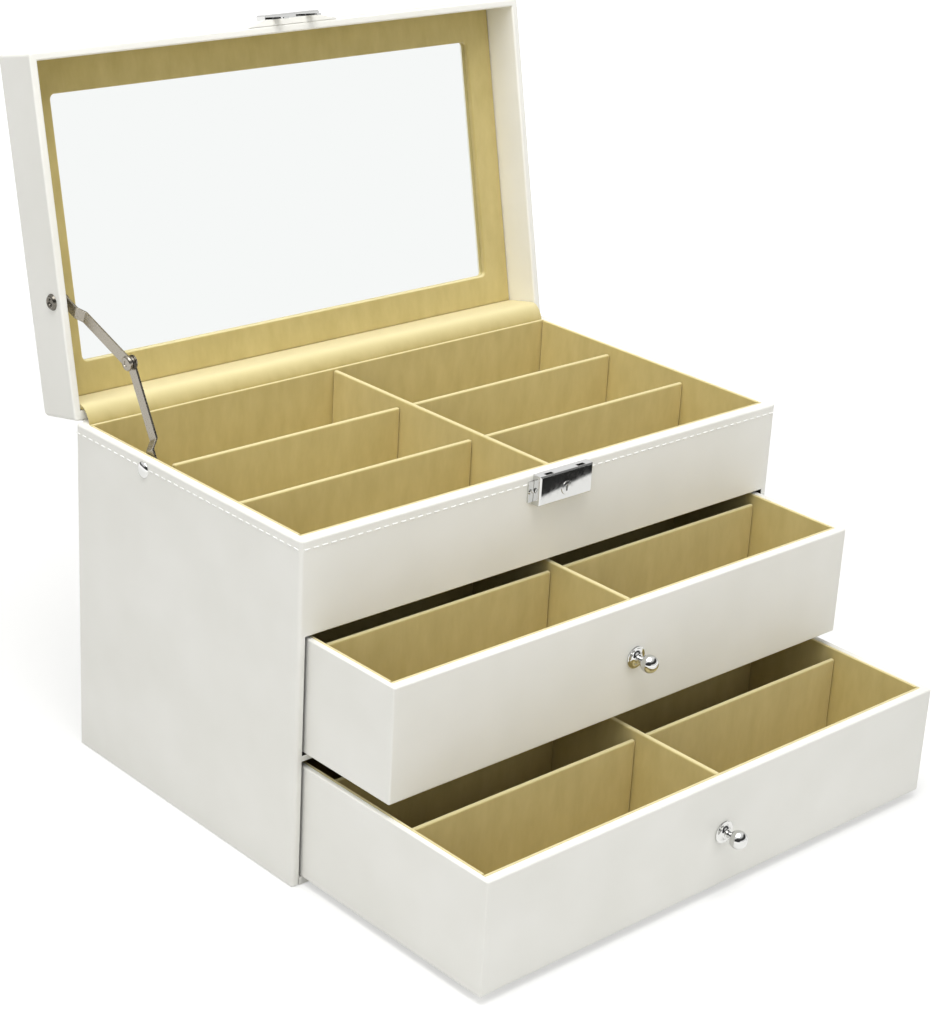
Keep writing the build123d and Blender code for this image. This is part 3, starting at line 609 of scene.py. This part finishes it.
# %% Soften a copy of a CAD node
def softened(node, radius, segments=3):
    """A copy of a node's mesh with every sharp edge rounded, in millimetres."""
    skin = bmesh.new()
    skin.from_mesh(frame["nodes"][node].data)
    bmesh.ops.remove_doubles(skin, verts=skin.verts, dist=0.002 * MM)
    bmesh.ops.dissolve_limit(
        skin, angle_limit=math.radians(2), verts=skin.verts, edges=skin.edges
    )
    return rounded_mesh(node + "_soft", skin, lambda middle, direction: radius, segments)


for node, body, radius, finish, slot in (
    ("mirror_frame", "lid", 0.35, velvet, "gold_velvet"),
    ("lid_back_lining", "lid", 1.1, velvet, "gold_velvet"),
    ("lock_case", "carcass", 0.28, chrome, "chrome"),
    ("lock_back_plate", "carcass", 0.2, chrome, "chrome"),
    ("lock_cylinder", "lock_cylinder", 0.12, chrome, "chrome"),
    ("lock_latch", "lock_latch", 0.08, nickel, "satin_steel"),
    ("hasp", "lid", 0.18, chrome, "chrome"),
    ("stay_lower_link", "stay_lower", 0.14, nickel, "satin_steel"),
    ("stay_upper_link", "stay_upper", 0.14, nickel, "satin_steel"),
    ("hasp_pad", "lid", 0.9, leatherette, "white_leatherette"),
):
    add_piece(node + "_soft", softened(node, radius), body, [finish], [node], slot)

# %% [markdown]
# ## Hinge cloths
# Two strips of cloth join lid and case. The velvet one is glued behind the tray's lining,
# bridges the corner of the hinge in one smooth swell and runs up the lid's back lining to
# the mirror panel, where the photograph shows a flat pale band. The leatherette one closes
# the gap at the back. Each is drawn as a path across the hinge, swept along x and given its
# thickness, in the place it takes with the lid open. Path points are distances from the
# hinge line, back and up.

# %% Sweep a strip of cloth
def sweep_cloth(name, path, half_width, thickness, across=48):
    """A strip of cloth along a path of (back, up) points, swept in steps across the box."""
    skin = bmesh.new()
    rows = [
        [skin.verts.new(hinge_point(back, up, (2 * k / across - 1) * half_width))
         for k in range(across + 1)]
        for back, up in path
    ]
    for lower, upper in zip(rows, rows[1:]):
        for k in range(across):
            skin.faces.new((lower[k], lower[k + 1], upper[k + 1], upper[k]))
    draft = linked(name, smooth_mesh(name, skin))
    solid = draft.modifiers.new("Thickness", "SOLIDIFY")
    solid.thickness = thickness * MM
    solid.offset = 0
    edge = draft.modifiers.new("Cut edges", "BEVEL")
    edge.width = 0.3 * thickness * MM
    edge.segments = 2
    edge.limit_method = "ANGLE"
    edge.angle_limit = math.radians(60)
    return applied(draft)


def hinge_point(back, up, across=0.0):
    """A distance from the hinge line as a place in metres."""
    return hinge_place + Vector((across, back, up)) * MM


def with_lid(back, up):
    """A (back, up) point of the shut lid as the same point of the open one."""
    place = Matrix.Rotation(-open_angle, 3, "X") @ Vector((0, back, up))
    return place.y, place.z


def bend(start, start_pull, end_pull, end, count=12):
    """Points of a smooth bend between two (back, up) points."""
    flat = [Vector((back, up, 0)) for back, up in (start, start_pull, end_pull, end)]
    return [(p.x, p.y) for p in interpolate_bezier(*flat, count)]


def add_cloth(name, path, half_width, thickness, finish, slot, blend, **facts):
    """A strip of cloth swept along a path, with its place baked into its mesh."""
    mesh = sweep_cloth(name, path, half_width, thickness)
    strip = add_piece(name, mesh, None, [finish], slot=slot, **facts)
    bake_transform(strip)


# %% Velvet and leatherette hinge strips
cloth_off, cloth_thick, strip_half_width = 0.4, 0.5, 165.0
glued, glued_pull = (-5.35, -1.0), (-4.4, 2.6)
cloth_y = lining_back - cloth_off
swell = bend(glued, glued_pull, with_lid(cloth_y, rim_z - 3.0), with_lid(cloth_y, rim_z + 2.5))
add_cloth(
    "hinge_velvet", swell + [with_lid(cloth_y, panel_rim - 0.4)],
    strip_half_width, cloth_thick, velvet, "gold_velvet",
    (glued, with_lid(lining_back, rim_z)), nodes=["hinge_lining"],
)
outside, reach, turn_in = 0.3, 14.0, 1.6
add_cloth(
    "hinge_leatherette",
    [(outside, -reach)]
    + bend((outside, -turn_in), (outside, -0.7), with_lid(outside, 0.7),
           with_lid(outside, turn_in))
    + [with_lid(outside, reach)],
    strip_half_width, cloth_thick, leatherette, "white_leatherette",
    ((outside, -turn_in), with_lid(outside, turn_in)),
)

# %% [markdown]
# ## Turned pieces
# Knobs, rosettes and rivets are turned on a lathe. A profile of radius against height is
# spun round its axis. The helper closes the poles and recalculates the normals, because a
# spun shape can come out inside out.

# %% Spin a profile
def turned(name, profile, centre, axis, steps=56):
    """Spins (height, radius) pairs round an axis through a centre, in millimetres."""
    skin = bmesh.new()
    turn_to = Vector((0, 0, 1)).rotation_difference(Vector(axis)).to_matrix()
    rings = []
    for height, radius in profile:
        count = steps if radius > 0 else 1
        rings.append([
            skin.verts.new((Vector(centre) + turn_to @ Vector((
                radius * math.cos(math.tau * k / steps),
                radius * math.sin(math.tau * k / steps), height))) * MM)
            for k in range(count)
        ])
    for lower, upper in zip(rings, rings[1:]):
        for k in range(steps):
            around = [lower[k % len(lower)], lower[(k + 1) % len(lower)],
                      upper[(k + 1) % len(upper)], upper[k % len(upper)]]
            skin.faces.new(list(dict.fromkeys(around)))
    bmesh.ops.recalc_face_normals(skin, faces=skin.faces)
    mesh = smooth_mesh(name, skin)
    mesh.set_sharp_from_angle(angle=math.radians(50))
    return mesh


def arc(centre, radius, start, end, count=10):
    """Points of an arc in a profile, angles in degrees, as (height, radius) pairs."""
    return [
        (centre[0] + radius * math.cos(math.radians(start + (end - start) * k / count)),
         centre[1] + radius * math.sin(math.radians(start + (end - start) * k / count)))
        for k in range(count + 1)
    ]


# %% [markdown]
# The knob is a ball on a short neck, which rises from a rosette with a hollow flare. The
# frame gives the drawer's front and the knob's length; the ball's centre follows from them.

# %% Drawer knobs
neck, ball = 2.1, 4.9
flare_foot, flare_steps = 0.95, 10
for drawer in ("upper_drawer", "lower_drawer"):
    rosette_low, rosette_high = span(f"{drawer}_rosette")
    knob_low = span(f"{drawer}_knob")[0]
    face = rosette_high.y
    centre = (0, face, (rosette_low.z + rosette_high.z) / 2)
    disc = (rosette_high.x - rosette_low.x) / 2
    rise = face - rosette_low.y
    reach = face - knob_low.y - ball
    flare = [(0, 0), (0, disc - 0.25), (0.25, disc), (0.7, disc), (flare_foot, disc - 0.3)]
    for k in range(1, flare_steps + 1):
        share = k / flare_steps
        flare.append((flare_foot + (rise - flare_foot) * share ** 3,
                      disc - 0.3 - (disc - neck - 1.0) * share))
    flare += [(rise + 0.15, neck + 0.35), (rise + 0.15, 0)]
    add_piece(f"{drawer}_rosette_turned", turned("rosette", flare, centre, (0, -1, 0)),
              drawer, [chrome], [f"{drawer}_rosette"], "chrome")
    neck_angle = math.degrees(math.asin(neck / ball))
    stem = [(rise - 0.2, 0), (rise - 0.2, neck + 0.2), (rise + 0.5, neck + 0.2),
            (rise + 0.8, neck - 0.25), (reach - 5.0, neck - 0.25)]
    ball_arc = arc((reach, 0), ball, 180 - neck_angle, 0, 28)
    ball_arc[-1] = (ball_arc[-1][0], 0)
    add_piece(f"{drawer}_knob_turned", turned("knob", stem + ball_arc, centre, (0, -1, 0)),
              drawer, [chrome], [f"{drawer}_knob"], "chrome")

# %% [markdown]
# The stay's two wall rivets show outside the left walls: on the case a low dome, on the lid
# an eyelet with a dark middle. The middle rivet is two small heads on the folding joint.

# %% Stay rivets
shank_radius, crown_radius, washer_radius, joint_radius = 1.6, 4.5, 2.9, 3.99


def rivet_mesh(node, crown):
    """A wall rivet: the outer head given as a profile, a shank and an inner head."""
    low, high = span(node)
    middle = (low + high) / 2
    head, length = -outer_x - low.x, high.x + outer_x
    profile = crown(head) + [
        (0, crown_radius), (0, shank_radius), (length - 1.1, shank_radius),
        (length - 1.1, washer_radius), (length - 0.35, washer_radius), (length, 2.4),
        (length, 0),
    ]
    return turned(node, profile, (-outer_x, middle.y, middle.z), (1, 0, 0))


def round_crown(head):
    """A polished dome on a thin lip."""
    return [(-head, 0), (-head * 0.98, 1.1), (-head * 0.86, 2.4), (-head * 0.62, 3.5),
            (-head * 0.3, 4.25), (-0.15, crown_radius)]


def eyelet_crown(head):
    """A rolled ring round a sunk middle."""
    ring = arc((-head + 1.15, 2.9), 1.15, 255, 105, 10)
    return [(-head * 0.15, 0), (-head * 0.15, 1.5), (-head * 0.3, 1.75)] + ring + [
        (-0.3, 4.45)]


add_piece("body_stay_rivet_turned", rivet_mesh("body_stay_rivet", round_crown), "carcass",
          [chrome], ["body_stay_rivet"], "chrome")
# The lid rivet's dark colour is a painted reflection.
add_piece("lid_stay_rivet_turned", rivet_mesh("lid_stay_rivet", eyelet_crown), "lid",
          [rivet_painted_dark], ["lid_stay_rivet"], "chrome")
for half, body, outward in (("stay_upper_rivet", "stay_upper", -1),
                            ("stay_lower_rivet", "stay_lower", 1)):
    low, high = span(half)
    middle = (low + high) / 2
    outer = low.x if outward < 0 else high.x
    shank = high.x if outward < 0 else low.x
    length = abs(outer - shank)
    profile = [
        (0, 0), (0, shank_radius), (length - 1.3, shank_radius), (length - 1.3, joint_radius),
        (length - 0.7, joint_radius), (length - 0.25, 3.6), (length, 2.9), (length, 1.6),
        (length - 0.4, 1.4), (length - 0.4, 0),
    ]
    add_piece(f"{half}_turned", turned(half, profile, (shank, middle.y, middle.z),
                                       (outward, 0, 0)), body, [nickel], [half],
              "satin_steel")

# %% [markdown]
# ## Stitches
# A row of white stitches runs under the rim along the sides and the front. It stops short of
# the corners, the lock and the stay's rivet. A loop could place more than a hundred stitches,
# but a node tree does it from one line: it cuts the line into equal steps, lays a thread at
# each, turns it along the line, and varies its length a little, as a machine does when the
# leatherette drags. The tree's inputs are the sizes of the stitch.

# %% A tree that sews along lines
def start_tree(name, sizes):
    """A geometry tree with named inputs for sizes in metres and a material."""
    tree = bpy.data.node_groups.new(name, "GeometryNodeTree")
    tree.interface.new_socket("Geometry", in_out="INPUT", socket_type="NodeSocketGeometry")
    for size in sizes:
        tree.interface.new_socket(size, in_out="INPUT", socket_type="NodeSocketFloat")
    tree.interface.new_socket("Facing", in_out="INPUT", socket_type="NodeSocketVector")
    tree.interface.new_socket("Material", in_out="INPUT", socket_type="NodeSocketMaterial")
    tree.interface.new_socket("Geometry", in_out="OUTPUT", socket_type="NodeSocketGeometry")
    return tree, tree.nodes.new("NodeGroupInput").outputs


def end_tree(tree, instances, material):
    """Makes real mesh of the instances, gives it its material and hands it out."""
    real = add(tree, "GeometryNodeRealizeInstances", Geometry=instances)
    dressed = add(tree, "GeometryNodeSetMaterial", Geometry=real.outputs[0], Material=material)
    out = tree.nodes.new("NodeGroupOutput")
    tree.links.new(dressed.outputs[0], out.inputs[0])


def sewing_tree(seed):
    """Threads along lines: Pitch from one to the next, Length and Thickness of each."""
    tree, given = start_tree("sewing", ("Pitch", "Length", "Thickness"))
    lines = add(tree, "GeometryNodeMeshToCurve", Mesh=given["Geometry"])
    steps = add(tree, "GeometryNodeResampleCurve", {"mode": "LENGTH"},
                Curve=lines.outputs[0], Length=given["Pitch"])
    core = add(tree, "GeometryNodeCurvePrimitiveLine", Start=(-0.5, 0, 0), End=(0.5, 0, 0))
    core = add(tree, "GeometryNodeResampleCurve", {"mode": "COUNT"},
               Curve=core.outputs[0], Count=7)
    along = add(tree, "GeometryNodeSplineParameter")
    offset = compute(tree, "MULTIPLY_ADD", along.outputs["Factor"], 2.0, -1.0)
    taper = compute(tree, "SUBTRACT", 1.04, compute(tree, "POWER", offset, 4.0))
    core = add(tree, "GeometryNodeSetCurveRadius", Curve=core.outputs[0], Radius=taper)
    ring = add(tree, "GeometryNodeCurvePrimitiveCircle", Resolution=8, Radius=0.5)
    dash = add(tree, "GeometryNodeCurveToMesh", Curve=core.outputs[0],
               Profile_Curve=ring.outputs[0], Fill_Caps=True)
    drag = add(tree, "FunctionNodeRandomValue", {"data_type": "FLOAT"}, _2=0.92, _3=1.06,
               Seed=seed)
    size = add(tree, "ShaderNodeCombineXYZ", Y=given["Thickness"], Z=given["Thickness"],
               X=compute(tree, "MULTIPLY", given["Length"], drag.outputs[1]))
    tangent = add(tree, "GeometryNodeInputTangent")
    turn = add(tree, "FunctionNodeAlignRotationToVector", {"axis": "X"},
               Vector=tangent.outputs[0])
    laid = add(tree, "GeometryNodeInstanceOnPoints", Points=steps.outputs[0],
               Instance=dash.outputs[0], Rotation=turn.outputs[0], Scale=size.outputs[0])
    end_tree(tree, laid.outputs[0], given["Material"])
    return tree


def grown(name, mesh, tree, **inputs):
    """The plain mesh that a tree makes of a mesh, with its inputs set by identifier."""
    draft = linked(name, mesh)
    nodes = draft.modifiers.new(name, "NODES")
    nodes.node_group = tree
    for item in tree.interface.items_tree:
        if item.in_out == "INPUT" and item.name in inputs:
            nodes[item.identifier] = inputs[item.name]
    return applied(draft)


# %% Sew the row under the rim
stitch_drop, stitch_off, corner_stop = 5.0, 0.1, 3.6
row_z = top_z - stitch_drop
side_x, row_y = outer_x + stitch_off, front_y - stitch_off
rivet_y = sum(corner.y for corner in span("body_stay_rivet")) / 2
lock_stop, rivet_stop, back_stop = span("lock_back_plate")[1].x + 2.0, 7.0, 93.5
rows = [
    [(-side_x, back_stop), (-side_x, rivet_y + rivet_stop)],
    [(-side_x, rivet_y - rivet_stop), (-side_x, front_y + corner_stop)],
    [(corner_stop - outer_x, row_y), (-lock_stop, row_y)],
    [(lock_stop, row_y), (outer_x - corner_stop, row_y)],
    [(side_x, front_y + corner_stop), (side_x, back_stop)],
]
row_points, row_edges = [], []
for row in rows:
    first = len(row_points)
    row_points += [(x * MM, y * MM, row_z * MM) for x, y in row]
    row_edges.append((first, first + 1))
row_mesh = bpy.data.meshes.new("rim_stitches")
row_mesh.from_pydata(row_points, row_edges, [])
stitches = grown("rim_stitches", row_mesh, sewing_tree(seed=4), Pitch=5.4 * MM,
                 Length=3.2 * MM, Thickness=0.7 * MM, Material=thread)
add_piece("rim_stitches", stitches, "carcass", [], slot="white_leatherette")

# %% [markdown]
# ## Screws
# The lock's two screws and the hasp's two are slotted pan heads. One tree turns a point into
# a screw: a round head less a slot, stood along the direction it faces and spun at random,
# because nobody lines up slots.

# %% A tree that sets screws
def screw_tree(seed):
    """Slotted heads on points, sunk by their height below them."""
    tree, given = start_tree("screws", ("Radius", "Height"))
    head = add(tree, "GeometryNodeMeshCylinder", Vertices=40, Radius=given["Radius"],
               Depth=given["Height"])
    slot_size = add(tree, "ShaderNodeCombineXYZ", Z=given["Height"],
                    X=compute(tree, "MULTIPLY", given["Radius"], 2.4),
                    Y=compute(tree, "MULTIPLY", given["Radius"], 0.3))
    slot = add(tree, "GeometryNodeMeshCube", Size=slot_size.outputs[0])
    lift = add(tree, "ShaderNodeCombineXYZ",
               Z=compute(tree, "MULTIPLY", given["Height"], 0.6))
    slot = add(tree, "GeometryNodeTransform", Geometry=slot.outputs[0],
               Translation=lift.outputs[0])
    cut = add(tree, "GeometryNodeMeshBoolean", {"operation": "DIFFERENCE"},
              _0=head.outputs["Mesh"], _1=slot.outputs[0])
    sunk = add(tree, "ShaderNodeCombineXYZ",
               Z=compute(tree, "MULTIPLY", given["Height"], -0.5))
    seated = add(tree, "GeometryNodeTransform", Geometry=cut.outputs[0],
                 Translation=sunk.outputs[0])
    stand = add(tree, "FunctionNodeAlignRotationToVector", {"axis": "Z"},
                Vector=given["Facing"])
    spin = add(tree, "FunctionNodeRandomValue", {"data_type": "FLOAT"}, _2=0.0, _3=3.1,
               Seed=seed)
    spin_turn = add(tree, "FunctionNodeAxisAngleToRotation", Axis=(0, 0, 1),
                    Angle=spin.outputs[1])
    turn = add(tree, "FunctionNodeRotateRotation", {"rotation_space": "LOCAL"},
               Rotation=stand.outputs[0], Rotate_By=spin_turn.outputs[0])
    placed = add(tree, "GeometryNodeInstanceOnPoints", Points=given["Geometry"],
                 Instance=seated.outputs[0], Rotation=turn.outputs[0])
    end_tree(tree, placed.outputs[0], given["Material"])
    return tree


# %% Set the screws
set_screws = screw_tree(seed=7)
lock_low, lock_high = span("lock_screws")
hasp_low, hasp_high = shut_span("hasp_screws")
lock_head, hasp_head = (1.3, 0.7), (1.8, 1.0)
lock_middle = (lock_low.z + lock_high.z) / 2
hasp_middle = (hasp_low.z + hasp_high.z) / 2
screw_sets = (
    ("lock_screws", "carcass", lock_head, Vector((0, -1, 0)),
     [Vector((side * (lock_high.x - lock_head[0]), lock_low.y, lock_middle)) * MM
      for side in (-1, 1)]),
    ("hasp_screws", "lid", hasp_head, OPEN_LID.to_3x3() @ Vector((0, -1, 0)),
     [OPEN_LID @ (Vector((side * (hasp_high.x - hasp_head[0]), hasp_low.y, hasp_middle)) * MM)
      for side in (-1, 1)]),
)
for name, body, (radius, height), facing, places in screw_sets:
    points = bpy.data.meshes.new(name)
    points.from_pydata([tuple(place) for place in places], [], [])
    heads = grown(name + "_slotted", points, set_screws, Radius=radius * MM,
                  Height=height * MM, Facing=facing, Material=chrome)
    add_piece(name + "_slotted", heads, body, [], [name], "chrome")

# %% [markdown]
# ## Plain CAD nodes that stay
# What stays as the CAD has it gets its own finish: the base, whose covered edge is the white
# sill under the lower drawer, the bare board under the tray, the mirror, and the small screws.

# %% Finish the nodes that stay
for node, finish in (
    ("mirror", mirror_glass),
    ("base_panel", leatherette),
    ("tray_floor", dark_board),
    ("upper_drawer_knob_screw", nickel),
    ("lower_drawer_knob_screw", nickel),
):
    frame["nodes"][node].data.materials.clear()
    frame["nodes"][node].data.materials.append(finish)
    print("finished", node, "with", finish.name)

# %% [markdown]
# ## Studio
# The photograph has a white ground, soft light from above and the front left, and dark
# reflections in the chrome. The floor is pale and keeps the shadow. The sky is white to the
# camera but weaker as a lamp, so the leatherette is not burnt out. Chrome shows only what
# stands round it, and in an all-white room it looks like plaster, so reflections see a dark
# room with a white ceiling, which reaches lower behind the box than in front of it, and a
# low white screen where the mirror looks.

# %% Floor, sky and lamps
floor_mesh = bpy.data.meshes.new("floor")
floor_half, floor_drop = 6.0, 0.3 * MM
floor_mesh.from_pydata(
    [(x * floor_half, y * floor_half, -floor_drop)
     for x, y in ((-1, -1), (1, -1), (1, 1), (-1, 1))],
    [], [(0, 1, 2, 3)],
)
floor = linked("floor", floor_mesh)
floor_paint, floor_tree, floor_shader, floor_place = new_material("pale_floor")
floor_shader.inputs["Base Color"].default_value = linear("#D2D2D0")
floor_shader.inputs["Roughness"].default_value = 0.9
path = add(floor_tree, "ShaderNodeLightPath")
seen = compute(floor_tree, "MAXIMUM", path.outputs["Is Camera Ray"],
               path.outputs["Is Glossy Ray"])
floor_shader.inputs["Emission Color"].default_value = linear("#FFFFFF")
away = add(floor_tree, "ShaderNodeVectorMath", {"operation": "LENGTH"}, _0=floor_place)
fade = remap(floor_tree, away.outputs["Value"], 0.5, 1.4, 0.42, 1.0)
floor_tree.links.new(compute(floor_tree, "MULTIPLY", seen, fade),
                     floor_shader.inputs["Emission Strength"])
floor_mesh.materials.append(floor_paint)
floor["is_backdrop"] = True

world = bpy.data.worlds.new("studio")
scene.world = world
world.use_nodes = True
sky = world.node_tree
sky_path = add(sky, "ShaderNodeLightPath")
toward = add(sky, "ShaderNodeTexCoord").outputs["Generated"]
look = add(sky, "ShaderNodeSeparateXYZ", Vector=toward)
# The white ceiling: a ray has to look up this far to meet it, less behind the box than in
# front of it.
dark_top = remap(sky, look.outputs["Y"], -0.3, 0.3, 0.72, 0.22)
above = compute(sky, "SUBTRACT", look.outputs["Z"], dark_top)
ceiling = remap(sky, above, -0.12, 0.12, 0.05, 1.0)
# The white screen stands where the mirror looks from the photograph's camera.
mirror_looks = (0.6, -0.8, 0.0)
opposite = add(sky, "ShaderNodeVectorMath", {"operation": "DOT_PRODUCT"}, _0=toward,
               _1=mirror_looks)
screen_top = remap(sky, opposite.outputs["Value"], 0.3, 0.5, 0.0, 0.26)
below = compute(sky, "SUBTRACT", screen_top, look.outputs["Z"])
screen = remap(sky, below, -0.02, 0.02)
room = compute(sky, "MAXIMUM", ceiling, screen)
sky_as_lamp, sky_seen = 0.36, 1.0
lit = add(sky, "ShaderNodeMix", Factor=sky_path.outputs["Is Glossy Ray"], _2=sky_as_lamp,
          _3=room)
strength = add(sky, "ShaderNodeMix", Factor=sky_path.outputs["Is Camera Ray"],
               _2=lit.outputs[0], _3=sky_seen)
background = next(n for n in sky.nodes if n.type == "BACKGROUND")
background.inputs["Color"].default_value = linear("#FFFFFF")
sky.links.new(strength.outputs[0], background.inputs["Strength"])


def add_lamp(name, place, aim, size, power, mirrored=True):
    """A square soft box, in metres and watts; chrome sees only a mirrored one."""
    data = bpy.data.lights.new(name, "AREA")
    data.shape = "SQUARE"
    data.size = size
    data.energy = power
    lamp = linked(name, data)
    lamp.location = place
    lamp.rotation_euler = (Vector(aim) - Vector(place)).to_track_quat("-Z", "Y").to_euler()
    lamp.visible_glossy = mirrored


add_lamp("top_box", (-0.25, -0.15, 1.5), (0, 0, 0.1), 1.2, 20)
add_lamp("left_box", (-1.5, -0.7, 0.9), (0, 0, 0.15), 1.0, 5.2, mirrored=False)
add_lamp("front_box", (0.3, -1.7, 0.8), (0, 0, 0.15), 1.0, 4.8, mirrored=False)
print("studio lit")

# %% [markdown]
# The photograph's lock is black above and white below, because something dark stands low in
# front of the box. A small card does it. Only reflections see it; it throws no shadow.

# %% A dark card for the lock
black_card = make_plain("black_card", "#0B0B0A", 0.9, 5 * MM, 0.1 * MM)
card_left, card_right, card_y, card_slope, card_top = 0.23, 0.36, -0.4, 0.019, 0.035
card_mesh = bpy.data.meshes.new("lock_card")
card_mesh.from_pydata(
    [(x, card_y, z) for x, z in ((card_left, 0.0), (card_right, card_slope),
                                 (card_right, card_top), (card_left, card_top))],
    [], [(0, 1, 2, 3)],
)
card_mesh.materials.append(black_card)
card = linked("lock_card", card_mesh)
card.visible_camera = card.visible_diffuse = card.visible_shadow = False
card.visible_transmission = card.visible_volume_scatter = False
card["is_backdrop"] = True
print("one dark card for the lock")

# %% [markdown]
# ## Camera
# The photograph's camera was worked out from the corners of the case: it stands in front and
# to the left, looks down a little, and is tilted a few degrees to one side.

# %% Camera
photo_height, focal_pixels = 1024, 2323.98
aim, distance = Vector((28.004, 0, 124.611)), 1311.776
azimuth, elevation, roll = (math.radians(a) for a in (-43.241, 22.561, 3.235))
back = Vector((math.sin(azimuth) * math.cos(elevation),
               -math.cos(azimuth) * math.cos(elevation), math.sin(elevation)))
right = Vector((0, 0, 1)).cross(back).normalized()
up = back.cross(right)
right, up = (math.cos(roll) * right + math.sin(roll) * up,
             math.cos(roll) * up - math.sin(roll) * right)
camera_data = bpy.data.cameras.new("photograph")
camera = linked("photograph", camera_data)
camera_data.lens = focal_pixels / photo_height * camera_data.sensor_width
camera.matrix_world = Matrix.Translation(
    aim * MM + back * distance * MM
) @ Matrix((right, up, back)).transposed().to_4x4()
scene.camera = camera
scene.view_settings.view_transform = "Standard"
print("camera at", [round(v, 3) for v in camera.location])

# %% [markdown]
# ## Sizes
# Finishing must not change the object's size, so the box round the finished object is measured.

# %% Measure the finished object
low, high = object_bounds()
